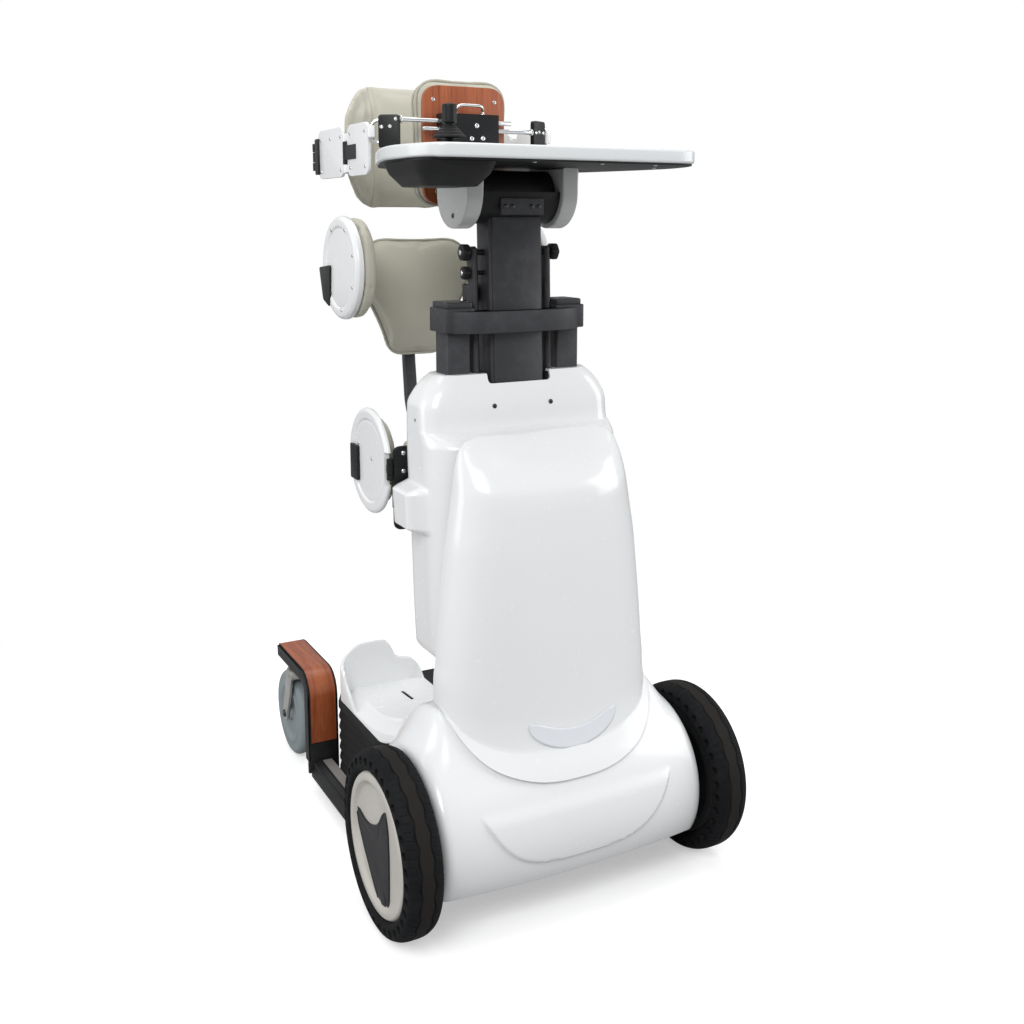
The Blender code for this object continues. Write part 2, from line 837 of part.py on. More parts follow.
def make_foot_platform():
    """The pleated step under the feet: its pleats run round it, one above another."""
    back = PLATFORM_Y[1]
    corners = [
        (-0.185, back), (-0.217, 0.455), (-0.217, 0.250), (-0.192, 0.225),
        (0.192, 0.225), (0.217, 0.250), (0.217, 0.455), (0.185, back),
    ]
    middle = (0.0, 0.372)
    levels = [(PLATFORM_LOW_Z, 1.0)]
    pitch = (0.186 - PLATFORM_LOW_Z) / 6
    for i in range(6):
        z = PLATFORM_LOW_Z + pitch * i
        levels += [(z + pitch * 0.45, 0.962), (z + pitch, 1.0)]
    levels += [(PLATFORM_TOP_Z - 0.005, 1.0), (PLATFORM_TOP_Z, 0.972)]

    def row(z, scale):
        return [
            (middle[0] + (x - middle[0]) * scale, middle[1] + (y - middle[1]) * scale, z)
            for x, y in corners
        ]

    platform = loft([row(z, scale) for z, scale in levels])
    platform.data.shade_flat()
    hollow = loft([row(0.040, 0.93), row(0.186, 0.93)])
    cut(platform, hollow)
    return finish(platform, "foot_platform", ORIGIN, BLACK, 0.7)


def make_guide_frame():
    """The two fixed posts with their collars, tied by the curved yoke plate in front."""
    pieces = []
    for name, side in SIDES:
        pieces.append(side_box(side, POST_X, POST_Y, (BELLY_Z[1] + GAP, 0.992)))
        pieces.append(side_box(side, (0.0775, 0.134), (0.112, 0.180), (0.950, 0.990), 0.006))
        pieces.append(side_box(side, (0.0800, 0.130), (0.116, 0.176), (0.986, 1.000), 0.005))
    front = 0.088
    outer = [(-0.128, 0.126), (-0.118, 0.108), (-0.094, 0.094), (-0.070, front)]
    outer += [(-x, y) for x, y in reversed(outer)]
    inner = [(x * 0.985, y + 0.007) for x, y in reversed(outer)]
    yoke = outline_solid(outer + inner, 0.036, in_xy(0.967))
    frame = pieces[0]
    weld(frame, *pieces[1:], yoke)
    for name, side in SIDES:
        cut(frame, side_box(side, (0.0875, 0.1225), (0.1255, 0.1665), (0.040, 0.980)))
    return finish(frame, "guide_frame", ORIGIN, STEEL_GREY, 0.4)


def make_base():
    make_base_frame()
    make_floor_pan()
    make_base_cover()
    make_front_hood()
    make_upper_covers()
    make_power_pack()
    make_gear_motors()
    for name, side in SIDES:
        make_castor_veneer(name, side)
    make_foot_platform()
    make_guide_frame()


def make_drive_wheel(name, side):
    """One wheel turned about its axle: a solid tyre with a ring of holes, a rim, an insert."""
    pivot = make_empty("drive_wheel_" + name, (side * 0.288, 0, AXLE_Z), ORIGIN)
    centre = (side * 0.288, 0, AXLE_Z)
    outward = (side, 0, 0)
    half = (TYRE_OUTER_X - TYRE_INNER_X) / 2
    seat = RIM_RADIUS + GAP
    outer = [
        (seat, half - 0.007), (0.123, half), (0.142, half - 0.002), (0.1480, half - 0.011),
        (TYRE_RADIUS, half * 0.40),
    ]
    outer += [(radius, -height) for radius, height in reversed(outer)]
    tyre = turned(outer + [outer[0]], centre, outward, 24)
    holes = []
    for i in range(TYRE_HOLES):
        angle = 2 * math.pi * (i + 0.5) / TYRE_HOLES
        y, z = 0.1335 * math.cos(angle), AXLE_Z + 0.1335 * math.sin(angle)
        holes.append(cylinder((side * 0.245, y, z), (side * 0.335, y, z), 0.0088, 6))
    cut(tyre, group(*holes))
    finish(tyre, "drive_tyre_" + name, pivot, RUBBER, 0.8)
    profile = [
        (0.0, 0.0150), (0.085, 0.0150), (0.092, 0.0185), (0.1000, 0.0255), (0.1145, 0.0255),
        (RIM_RADIUS, 0.0235), (RIM_RADIUS, -0.0235), (0.1000, -0.0255), (0.0950, -0.0100),
        (0.0380, -0.0080), (0.0340, -0.0270), (0.0, -0.0270),
    ]
    rim = turned(profile, centre, outward, 24)
    bore = cylinder(
        (side * 0.240, 0, AXLE_Z), (side * 0.2990, 0, AXLE_Z), SHAFT_RADIUS + 0.0007, 12
    )
    cut(rim, bore)
    finish(rim, "drive_rim_" + name, pivot, WARM_WHITE, 0.35)
    insert = shield_solid(side, 0.3033, 0.3075)
    bevel(insert, 0.0015, 1)
    finish(insert, "hub_insert_" + name, pivot, STEEL_GREY, 0.4)


def shield_solid(side, near, far):
    """The shield-shaped insert of the hub: two horns above, a tapered foot below."""
    half = [
        (0.0, 0.030), (0.022, 0.034), (0.040, 0.046), (0.052, 0.062), (0.060, 0.058),
        (0.060, 0.030), (0.050, -0.010), (0.036, -0.048), (0.022, -0.064), (0.0, -0.070),
    ]
    points = half + [(-y, z) for y, z in reversed(half[1:-1])]
    outline = [(y, AXLE_Z + z) for y, z in points]
    return outline_solid(outline, far - near, in_yz(side * (near + far) / 2))


def make_castor(name, side):
    """A castor: a fork that swivels behind its stem and a wheel that turns in it."""
    x, y = side * CASTOR_X, CASTOR_SWIVEL_Y
    swivel = make_empty("castor_swivel_" + name, (x, y, 0.200), ORIGIN)
    spin = make_empty("castor_axle_" + name, (x, CASTOR_Y, CASTOR_RADIUS), swivel)
    crown = cylinder((x, y, 0.1860), (x, y, 0.2005), 0.026, 16)
    stem = cylinder((x, y, 0.1900), (x, y, 0.2290), 0.0080, 10)
    blade = [
        (y - 0.018, 0.190), (y - 0.004, 0.150), (CASTOR_Y - 0.014, CASTOR_RADIUS + 0.004),
        (CASTOR_Y - 0.010, CASTOR_RADIUS - 0.012), (CASTOR_Y + 0.010, CASTOR_RADIUS - 0.012),
        (CASTOR_Y + 0.014, CASTOR_RADIUS + 0.004), (y + 0.030, 0.150), (y + 0.020, 0.190),
    ]
    bridge = box((x - 0.0235, y - 0.018, 0.1835), (x + 0.0235, y + 0.020, 0.1905))
    arms = [outline_solid(blade, 0.0045, in_yz(x + offset)) for offset in (-0.0213, 0.0213)]
    axle = cylinder(
        (x - 0.026, CASTOR_Y, CASTOR_RADIUS), (x + 0.026, CASTOR_Y, CASTOR_RADIUS), 0.004, 10
    )
    weld(crown, stem, bridge, *arms, axle)
    finish(crown, "castor_fork_" + name, swivel, WARM_WHITE, 0.4)
    half = CASTOR_WIDTH / 2
    profile = [
        (0.060, half - 0.002), (0.084, half - 0.003), (CASTOR_RADIUS, half * 0.35),
        (CASTOR_RADIUS, -half * 0.35), (0.084, -half + 0.003), (0.060, -half + 0.002),
        (0.050, -half + 0.007), (0.018, -half + 0.007), (0.016, -half), (0.0045, -half),
        (0.0045, half), (0.016, half), (0.018, half - 0.007), (0.050, half - 0.007),
        (0.060, half - 0.002),
    ]
    wheel = turned(profile, (x, CASTOR_Y, CASTOR_RADIUS), (side, 0, 0), 20)
    finish(wheel, "castor_wheel_" + name, spin, CASTOR_BLUE, 0.45)


def make_mast():
    """The lifting column with its bars, its clamp screws and the block that carries the head."""
    mast = make_empty("mast_lift", (0.0, MAST_FRONT_Y, MAST_PIVOT_Z), ORIGIN, MAST_LEAN)
    head = make_empty("head_carrier", (0.0, HEAD_Y, HEAD_Z), mast)
    column = box(
        (-COLUMN_HALF_WIDTH, MAST_FRONT_Y + 0.0040, COLUMN_FOOT_Z),
        (COLUMN_HALF_WIDTH, COLUMN_BACK_Y, COLUMN_TOP_Z),
        0.003,
    )
    bores = [
        cylinder((-0.060, SPINDLE_Y, 1.082), (0.060, SPINDLE_Y, 1.082), 0.0055, 12),
        cylinder((-0.060, SPINDLE_Y, 1.048), (-0.030, SPINDLE_Y, 1.048), 0.0045, 12),
    ]
    core = box(
        (-COLUMN_HALF_WIDTH + 0.004, MAST_FRONT_Y + 0.0080, COLUMN_FOOT_Z - 0.010),
        (COLUMN_HALF_WIDTH - 0.004, COLUMN_BACK_Y - 0.004, 1.0600),
    )
    finish(cut(column, core, *bores), "lift_column", mast, STEEL_GREY, 0.35, 0.4)
    plate = box((-0.046, MAST_FRONT_Y, 0.810), (0.046, MAST_FRONT_Y + 0.0037, 1.1405), 0.0015)
    finish(plate, "column_plate", mast, STEEL_GREY, 0.35, 0.3)
    strap = box((-0.0752, COLUMN_BACK_Y + GAP, 1.000), (0.0752, 0.1650, 1.030), 0.001)
    bars, bar_bores = [], []
    for name, side in SIDES:
        bars.append(side_box(side, (0.0640, 0.0750), (0.122, 0.148), (0.740, 1.092), 0.004))
        bars.append(side_box(side, (0.0630, 0.0745), (0.134, 0.163), (1.002, 1.028)))
        bar_bores.append(
            cylinder((side * 0.055, SPINDLE_Y, 1.082), (side * 0.090, SPINDLE_Y, 1.082), 0.0055, 10)
        )
    bar_bores.append(cylinder((-0.055, SPINDLE_Y, 1.048), (-0.090, SPINDLE_Y, 1.048), 0.0045, 12))
    cut(weld(strap, *bars), *bar_bores)
    finish(strap, "side_bars", mast, STEEL_GREY, 0.35, 0.4)
    block = cylinder((-0.0735, HEAD_Y, HEAD_Z), (0.0735, HEAD_Y, HEAD_Z), HEAD_RADIUS, 20)
    weld(block, box((-0.060, 0.113, 1.1445), (0.060, 0.186, 1.172), 0.004))
    finish(block, "head_block", head, BLACK, 0.5)
    return mast, head


def make_table(head):
    """The tilting table on its two round cheeks, with the joystick that drives the machine."""
    table = make_empty("table_tilt", (0.0, HEAD_Y, HEAD_Z), head)
    half = [
        (0.0, TABLE_FRONT_Y), (0.200, TABLE_FRONT_Y), (0.230, -0.072), (0.250, -0.050),
        (TABLE_HALF_WIDTH, -0.015), (TABLE_HALF_WIDTH, 0.035), (0.245, 0.105), (0.226, 0.160),
        (0.205, 0.215), (0.192, 0.245), (0.178, 0.262), (0.155, TABLE_BACK_Y), (0.0, TABLE_BACK_Y),
    ]
    outline = half + [(-x, y) for x, y in reversed(half[1:-1])]
    rows = []
    for z, inset in (
        (TABLE_LOW_Z, 0.004), (TABLE_LOW_Z + 0.003, 0.0), (TABLE_TOP_Z - 0.004, 0.0),
        (TABLE_TOP_Z - 0.001, 0.0015), (TABLE_TOP_Z, 0.005),
    ):
        scale = 1.0 - inset / 0.200
        rows.append([(x * scale, 0.100 + (y - 0.100) * scale, z) for x, y in outline])
    top = loft(rows)
    cheeks = []
    for name, side in SIDES:
        centre = (HEAD_Y, HEAD_Z)
        outline = [(HEAD_Y - CHEEK_RADIUS, 1.226)] + arc(centre, CHEEK_RADIUS, 180, 360, 10)
        outline.append((HEAD_Y + CHEEK_RADIUS, 1.226))
        middle = side * (CHEEK_X[0] + CHEEK_X[1]) / 2
        cheeks.append(outline_solid(outline, CHEEK_X[1] - CHEEK_X[0], in_yz(middle)))
    weld(top, *cheeks)
    hole = cylinder((JOYSTICK_X, JOYSTICK_Y, 1.200), (JOYSTICK_X, JOYSTICK_Y, 1.260), 0.0303, 20)
    cut(top, hole)
    finish(top, "table_top", table, WHITE, 0.25)
    make_joystick(table)


def make_joystick(table):
    pivot = (JOYSTICK_X, JOYSTICK_Y, JOYSTICK_PIVOT_Z)
    pitch = make_empty("joystick_pitch", pivot, table)
    roll = make_empty("joystick_roll", pivot, pitch)
    rows = []
    for z, inset in ((1.1830, 0.020), (1.2020, 0.006), (TABLE_LOW_Z - GAP, 0.0)):
        low = (-0.254 + inset, -0.066 + inset)
        high = (-0.122 - inset, 0.088 - inset)
        rows.append([(x, y, z) for x, y in rounded_rectangle(low, high, 0.024, 2)])
    tray = loft(rows)
    collar_profile = [
        (0.0235, 1.2460), (0.0296, 1.2460), (0.0296, 1.2100), (0.0235, 1.2100), (0.0235, 1.2460),
    ]
    collar = turned(collar_profile, (JOYSTICK_X, JOYSTICK_Y, 0.0), (0, 0, 1), 20)
    well = cylinder((JOYSTICK_X, JOYSTICK_Y, 1.200), (JOYSTICK_X, JOYSTICK_Y, 1.250), 0.0238, 20)
    cut(weld(tray, meshed(collar)), well)
    finish(tray, "joystick_housing", table, BLACK, 0.5)
    ring_profile_points = [
        (0.0145, 0.004), (0.0200, 0.004), (0.0200, -0.004), (0.0145, -0.004), (0.0145, 0.004),
    ]
    ring = meshed(turned(ring_profile_points, pivot, (0, 0, 1), 16))
    x, y, z = pivot
    pins = [
        cylinder((x - 0.0232, y, z), (x - 0.0170, y, z), 0.0022, 10),
        cylinder((x + 0.0170, y, z), (x + 0.0232, y, z), 0.0022, 10),
    ]
    finish(weld(ring, *pins), "joystick_gimbal", pitch, STEEL_GREY, 0.35, 0.8)
    profile = [
        (0.0, 0.0680), (0.0095, 0.0680), (0.0110, 0.0655), (0.0110, 0.0400), (0.0080, 0.0360),
        (0.0115, 0.0335), (0.0110, 0.0315), (0.0160, 0.0285), (0.0155, 0.0265), (0.0205, 0.0225),
        (0.0200, 0.0205), (0.0215, 0.0182), (0.0060, 0.0182), (0.0060, 0.0085), (0.0105, 0.0040),
        (0.0120, 0.0), (0.0090, -0.0080), (0.0, -0.0100),
    ]
    stick = turned(profile, pivot, (0, 0, 1), 12)
    finish(stick, "joystick_stick", roll, BLACK, 0.5)


def make_chest(head):
    """The chest support behind the table: a bracket with a handle, a board and its pad."""
    front, back = BLOCK_Y
    arm = box((-0.022, 0.1865, 1.150), (0.022, 0.282, 1.178))
    riser = box((-0.040, 0.2745, 1.151), (0.040, 0.2900, 1.262))
    block = box((-0.055, front, 1.205), (0.055, back, 1.320))
    bores = [cylinder((-0.07, ROD_Y, z), (0.07, ROD_Y, z), ROD_RADIUS + GAP, 12) for z in ROD_Z]
    finish(cut(weld(arm, riser, block), *bores), "chest_bracket", head, BLACK, 0.4)
    grip = [(0.027, 0.2940, 1.3204), (0.027, 0.2940, 1.3250), (0.026, 0.2905, 1.3300)]
    grip += [(0.023, 0.2885, 1.3335), (0.018, 0.2875, 1.3350)]
    grip += [(-x, y, z) for x, y, z in reversed(grip)]
    finish(tube(grip, 0.0026), "chest_handle", head, CHROME, 0.12, 1.0)
    board = outline_solid(
        rounded_rectangle((-0.081, 1.162), (0.081, 1.370), 0.030, 4),
        BOARD_BACK_Y - BLOCK_Y[1] - GAP,
        in_xz((BOARD_BACK_Y + BLOCK_Y[1] + GAP) / 2),
    )
    finish(board, "chest_board", head, LAMINATE, 0.35)
    pad = cushion(
        0.093, 0.115, 0.045, 0.036, 0.014,
        lambda u, v, w: (u, BOARD_BACK_Y + GAP + w, 1.270 + v),
        seams_u=(-0.048, 0.048),
    )
    finish(pad, "chest_pad", head, LEATHERETTE, 0.6)


def make_side_arm(name, side, head):
    """A rod that slides through the chest block, with the bracket and staple for the plates."""
    slide = make_empty("side_arm_slide_" + name, (0.0, ROD_Y, ROD_Z[0 if side < 0 else 1]), head)
    hinge_x = side * ARM_X
    height = ROD_Z[0] if side < 0 else ROD_Z[1]
    bracket = side_box(side, BRACKET_X, (0.292, 0.332), (1.257, 1.318), 0.003)
    rod = cylinder((side * 0.140, ROD_Y, height), (-side * 0.086, ROD_Y, height), ROD_RADIUS, 14)
    staple = tube(
        [
            (side * 0.150, FRONT_HINGE_Y, 1.3060), (side * 0.168, FRONT_HINGE_Y, 1.3060),
            (side * 0.173, FRONT_HINGE_Y, 1.3045), (hinge_x, FRONT_HINGE_Y, 1.3000),
            (hinge_x, FRONT_HINGE_Y, 1.2720), (side * 0.173, FRONT_HINGE_Y, 1.2675),
            (side * 0.168, FRONT_HINGE_Y, 1.2660), (side * 0.150, FRONT_HINGE_Y, 1.2660),
        ],
        0.0032,
    )
    weld(bracket, rod, staple)
    finish(bracket, "side_arm_" + name, slide, BLACK, 0.4)
    swing = make_empty("front_plate_hinge_" + name, (hinge_x, FRONT_HINGE_Y, 1.255), slide)
    make_front_plate(name, side, swing)
    fold = make_empty("rear_plate_hinge_" + name, (side * ARM_X, MIDDLE_HINGE_Y, 1.255), swing)
    make_rear_plate(name, side, fold)
    return fold


def plate_outline(start, end, low, high):
    return [
        (start, low + 0.012), (start + 0.012, low), (end - 0.012, low), (end, low + 0.012),
        (end, high - 0.012), (end - 0.012, high), (start + 0.012, high), (start, high - 0.012),
    ]


def make_front_plate(name, side, swing):
    low, high = PLATE_Z
    plate = outline_solid(
        plate_outline(FRONT_HINGE_Y + 0.004, MIDDLE_HINGE_Y - 0.012, low, high),
        0.006, in_yz(side * ARM_X),
    )
    knuckle = cylinder(
        (side * ARM_X, FRONT_HINGE_Y, 1.2760), (side * ARM_X, FRONT_HINGE_Y, 1.2960), 0.0075, 10
    )
    lugs = []
    for bottom, top in ((1.2200, 1.2350), (1.2760, 1.2910)):
        lugs.append(
            side_box(side, (0.1725, 0.1775), (0.430, MIDDLE_HINGE_Y), (bottom + 0.001, top - 0.001))
        )
        lugs.append(
            cylinder(
                (side * ARM_X, MIDDLE_HINGE_Y, bottom), (side * ARM_X, MIDDLE_HINGE_Y, top),
                0.0070, 10,
            )
        )
    weld(plate, knuckle, *lugs)
    cut(
        plate,
        box((side * ARM_X - 0.010, 0.300, 1.2600), (side * ARM_X + 0.010, 0.3360, 1.2757)),
        box((side * ARM_X - 0.010, 0.300, 1.2963), (side * ARM_X + 0.010, 0.3330, 1.3200)),
        cylinder(
            (side * ARM_X, FRONT_HINGE_Y, 1.2500), (side * ARM_X, FRONT_HINGE_Y, 1.3200), 0.0036, 8
        ),
        cylinder(
            (side * ARM_X, MIDDLE_HINGE_Y, 1.2100), (side * ARM_X, MIDDLE_HINGE_Y, 1.3000), 0.0033, 8
        ),
    )
    finish(plate, "front_plate_" + name, swing, WHITE, 0.3)


def make_rear_plate(name, side, fold):
    low, high = PLATE_Z
    plate = outline_solid(
        plate_outline(MIDDLE_HINGE_Y + 0.012, 0.600, low, high), 0.006, in_yz(side * ARM_X)
    )
    x = side * ARM_X
    barrel = cylinder((x, MIDDLE_HINGE_Y, 1.2353), (x, MIDDLE_HINGE_Y, 1.2757), 0.0070, 10)
    tongue = side_box(side, (0.1725, 0.1775), (MIDDLE_HINGE_Y, 0.475), (1.2360, 1.2750))
    pin = cylinder((x, MIDDLE_HINGE_Y, 1.2190), (x, MIDDLE_HINGE_Y, 1.2920), 0.0030, 8)
    end = side_box(side, (0.170, 0.182), (0.592, 0.612), (1.222, 1.290), 0.003)
    latch = cylinder((x, REAR_HINGE_Y, 1.2300), (x, REAR_HINGE_Y, 1.2820), 0.0075, 10)
    web = side_box(side, (0.1737, 0.1776), (0.605, REAR_HINGE_Y), (1.2310, 1.2810))
    weld(plate, barrel, tongue, pin, end, latch, web)
    slots = [
        box((x - 0.009, REAR_HINGE_Y - 0.0085, 1.2460), (x + 0.009, REAR_HINGE_Y + 0.0085, 1.2660)),
        cylinder((x, REAR_HINGE_Y, 1.2200), (x, REAR_HINGE_Y, 1.2900), 0.0033, 8),
    ]
    cut(plate, *slots)
    finish(plate, "rear_plate_" + name, fold, WHITE, 0.3)


def back_line(u):
    """The Y of the back pad's rear face: nearly flat behind the spine, wings bent forward."""
    return 0.632 - 0.105 * smooth_step((abs(u) - 0.050) / 0.112)


def make_back(fold):
    """The back rest closes the ring round the chest. It hangs on the left rear plate."""
    gate = make_empty("back_gate_hinge", (-ARM_X, REAR_HINGE_Y, 1.256), fold)
    path = [(-ARM_X, REAR_HINGE_Y), (-0.150, 0.640), (-0.100, 0.654), (0.100, 0.654)]
    path += [(0.150, 0.640), (ARM_X - 0.0085, REAR_HINGE_Y + 0.004)]
    outer = [(x, y + 0.003) for x, y in path]
    inner = [(x, y - 0.003) for x, y in reversed(path)]
    bar = outline_solid(outer + inner, 0.0190, in_xy(1.256))
    barrel = cylinder((-ARM_X, REAR_HINGE_Y, 1.2465), (-ARM_X, REAR_HINGE_Y, 1.2655), 0.0070, 10)
    pin = cylinder((-ARM_X, REAR_HINGE_Y, 1.2310), (-ARM_X, REAR_HINGE_Y, 1.2810), 0.0030, 8)
    plate = box((-0.070, 0.6363, 1.200), (0.070, 0.6530, 1.330), 0.003)
    finish(weld(bar, barrel, pin, plate), "back_bar", gate, BLACK, 0.4)

    def place(u, v, w):
        squeeze = 1.0 - 0.22 * smooth_step((abs(u) - 0.110) / 0.042)
        return (u * 0.985, back_line(u) - w * squeeze, 1.278 + v)

    pad = cushion(
        0.152, 0.118, 0.050, 0.034, 0.010, place, seams_u=(-0.072, 0.072),
        taper=lambda u: 1.0 - 0.50 * smooth_step((abs(u) - 0.075) / 0.077),
    )
    finish(pad, "back_pad", gate, LEATHERETTE, 0.6)


def make_pelvis():
    """The seat pad's arm swings down from the mast frame. It also carries the hip supports."""
    hinge_x, hinge_y, hinge_z = PELVIC_HINGE
    swing = make_empty("pelvic_hinge", PELVIC_HINGE, ORIGIN)
    side_line = [
        (0.228, 0.647), (0.240, 0.6415), (0.480, 0.650), (0.545, 0.690), (0.585, 0.760),
        (0.596, 0.860), (0.596, 1.062), (0.580, 1.062), (0.580, 0.862), (0.568, 0.770),
        (0.533, 0.708), (0.474, 0.675), (0.240, 0.6785), (0.228, 0.673),
    ]
    arm = outline_solid(side_line, 0.024, in_yz(0.0))
    crossbar = box((-0.150, 0.5815, 1.035), (0.150, 0.5955, 1.060))
    face = box((-0.050, 0.5680, 0.900), (0.050, 0.5830, 1.030), 0.004)
    barrel = cylinder((-0.013, hinge_y, hinge_z), (0.013, hinge_y, hinge_z), 0.021, 18)
    bore = cylinder((-0.020, hinge_y, hinge_z), (0.020, hinge_y, hinge_z), 0.0064, 12)
    cut(weld(arm, crossbar, face, barrel), bore)
    finish(arm, "pelvic_frame", swing, STEEL_GREY, 0.35)

    def place(u, v, w):
        narrow = 1.0 - 0.42 * smooth_step((0.050 - v) / 0.150)
        return (u * narrow, 0.5677 - w, 0.982 + v)

    pad = cushion(0.117, 0.118, 0.055, 0.036, 0.012, place)
    finish(pad, "pelvic_pad", swing, LEATHERETTE, 0.6)
    for name, side in SIDES:
        make_hip(name, side, swing)


def disc_profile(radius, thickness):
    """A dished support disc, turned about X: a raised rim, a step and a flat middle."""
    return [
        (0.0, thickness - 0.0015), (radius - 0.022, thickness - 0.0015),
        (radius - 0.0200, thickness), (radius - 0.0060, thickness), (radius, thickness * 0.50),
        (radius - 0.002, 0.0), (0.0, 0.0),
    ]


def pad_profile(radius, thickness, crown):
    return [
        (0.0, thickness + crown), (radius * 0.45, thickness + crown * 0.85),
        (radius * 0.72, thickness + crown * 0.45), (radius * 0.90, thickness),
        (radius, thickness * 0.80), (radius * 0.965, thickness * 0.45),
        (radius, thickness * 0.15), (radius * 0.95, 0.0), (0.0, 0.0),
    ]


def make_hip(name, side, swing):
    slide = make_empty("hip_slide_" + name, (side * 0.150, 0.606, 1.0475), swing)
    x, y, z = side * HIP_DISC[0], HIP_DISC[1], HIP_DISC[2]
    thickness = 0.016
    inside = (x - side * thickness, y, z)
    shell_disc = meshed(turned(disc_profile(HIP_DISC_RADIUS, thickness), inside, (side, 0, 0), 20))
    bar = side_box(side, (0.1945, 0.2030), (y + 0.060, 0.6120), (1.0385, 1.0565))
    sleeve = side_box(side, (0.060, 0.2025), (0.5960, 0.6130), (1.0395, 1.0555))
    weld(shell_disc, bar, sleeve)
    finish(shell_disc, "hip_shell_" + name, slide, WHITE, 0.3)
    base = (inside[0] - side * GAP, y, z)
    pad = turned(pad_profile(0.092, 0.026, 0.008), base, (-side, 0, 0), 18)
    finish(pad, "hip_pad_" + name, slide, LEATHERETTE, 0.6)


def make_knee(name, side):
    """A knee support: a cup on a bar that slides out of the body, and a disc that swings."""
    slide = make_empty("knee_slide_" + name, (side * 0.184, 0.160, 0.656), ORIGIN)
    swing = make_empty("knee_disc_hinge_" + name, (side * 0.1945, KNEE_HINGE_Y, 0.709), slide)
    front = side_box(side, (0.064, 0.1880), (0.2120, 0.2190), (0.600, 0.770))
    bar = side_box(side, (0.1765, 0.1915), (0.130, 0.2150), (0.6405, 0.6715))
    inner = side_box(side, (0.065, 0.071), (0.2150, 0.270), (0.615, 0.755))
    weld(front, bar, inner)
    lugs = []
    x = side * 0.1945
    for low, high in ((0.6900, 0.7000), (0.7180, 0.7280)):
        lugs.append(cylinder((x, KNEE_HINGE_Y, low), (x, KNEE_HINGE_Y, high), 0.0060, 10))
        lugs.append(side_box(side, (0.1850, 0.1945), (0.2125, 0.2175), (low + 0.0005, high - 0.0005)))
    weld(front, *lugs)
    cut(front, cylinder((x, KNEE_HINGE_Y, 0.680), (x, KNEE_HINGE_Y, 0.740), 0.0033, 8))
    finish(front, "knee_cup_" + name, slide, BLACK, 0.45)
    pad = cushion(
        0.047, 0.076, 0.020, 0.022, 0.006,
        lambda u, v, w: (side * 0.1215 + u, 0.2193 + w, 0.685 + v),
    )
    finish(pad, "knee_front_pad_" + name, slide, LEATHERETTE, 0.6)
    x, y, z = side * KNEE_DISC[0], KNEE_DISC[1], KNEE_DISC[2]
    inside = (x - side * 0.008, y, z)
    disc = meshed(turned(disc_profile(KNEE_DISC_RADIUS, 0.010), inside, (side, 0, 0), 20))
    notch = side_box(side, (0.170, 0.215), (0.190, 0.2220), (0.680, 0.738))
    hinge_x = side * 0.1945
    barrel = cylinder((hinge_x, KNEE_HINGE_Y, 0.7003), (hinge_x, KNEE_HINGE_Y, 0.7177), 0.0060, 10)
    pin = cylinder((hinge_x, KNEE_HINGE_Y, 0.6905), (hinge_x, KNEE_HINGE_Y, 0.7275), 0.0030, 8)
    arm = side_box(side, (0.1925, 0.1985), (KNEE_HINGE_Y, 0.2400), (0.7010, 0.7170))
    cut(disc, notch)
    weld(disc, barrel, pin, arm)
    finish(disc, "knee_shell_" + name, swing, WHITE, 0.3)
    base = (inside[0] - side * GAP, y + 0.008, z)
    soft = turned(pad_profile(0.080, 0.020, 0.006), base, (-side, 0, 0), 18)
    finish(soft, "knee_side_pad_" + name, swing, LEATHERETTE, 0.6)


def make_foot_shell(name, side):
    """A foot shell: a floor, a stepped heel wall, low side walls and a thick front rim."""
    slide = make_empty("foot_slide_" + name, (side * FOOT_X, 0.345, PLATFORM_TOP_Z), ORIGIN)
    floor_z = PLATFORM_TOP_Z + GAP
    low_x, high_x = span(side, 0.034, 0.212)
    floor = outline_solid(
        rounded_rectangle((low_x, 0.228), (high_x, 0.470), 0.022, 2),
        0.012, in_xy(floor_z + 0.006),
    )
    steps = [
        (0.212, 0.204), (0.212, 0.262), (0.203, 0.280), (0.190, 0.288), (0.170, 0.302),
        (0.120, 0.304), (0.104, 0.296), (0.093, 0.270), (0.056, 0.256), (0.040, 0.232),
        (0.034, 0.204),
    ]
    heel = outline_solid([(side * x, z) for x, z in steps], 0.008, in_xz(0.466))
    outer = side_box(side, (0.204, 0.212), (0.250, 0.466), (0.204, 0.232), 0.002)
    rim = side_box(side, (0.040, 0.206), (0.2285, 0.2480), (0.204, 0.228), 0.006, 2)
    weld(floor, heel, outer, rim)
    slot = side_box(side, (0.119, 0.131), (0.370, 0.412), (0.190, 0.220), 0.005)
    cut(floor, slot)
    finish(floor, "foot_shell_" + name, slide, WHITE, 0.3)


def make_clamps(mast):
    """The spindle that clamps both bars to the column, and the smaller screw below it."""
    middle = lean_matrix() @ Vector((0.0, SPINDLE_Y, 1.082))
    y, z = middle.y, middle.z
    screw = make_empty("clamp_screw", (0.0, y, z), mast)
    rod = cylinder((-0.090, y, z), (0.090, y, z), 0.0050, 12)
    knobs = [knob((side * 0.0765, y, z), (side, 0, 0), 0.015, 0.016) for name, side in SIDES]
    finish(weld(rod, *knobs), "clamp_spindle", screw, BLACK, 0.5)
    middle = lean_matrix() @ Vector((0.0, SPINDLE_Y, 1.048))
    y, z = middle.y, middle.z
    lower = make_empty("side_screw", (-0.075, y, z), mast)
    small = cylinder((-0.088, y, z), (-0.0320, y, z), 0.0040, 12)
    weld(small, knob((-0.0765, y, z), (-1, 0, 0), 0.012, 0.014))
    finish(small, "side_knob", lower, BLACK, 0.5)


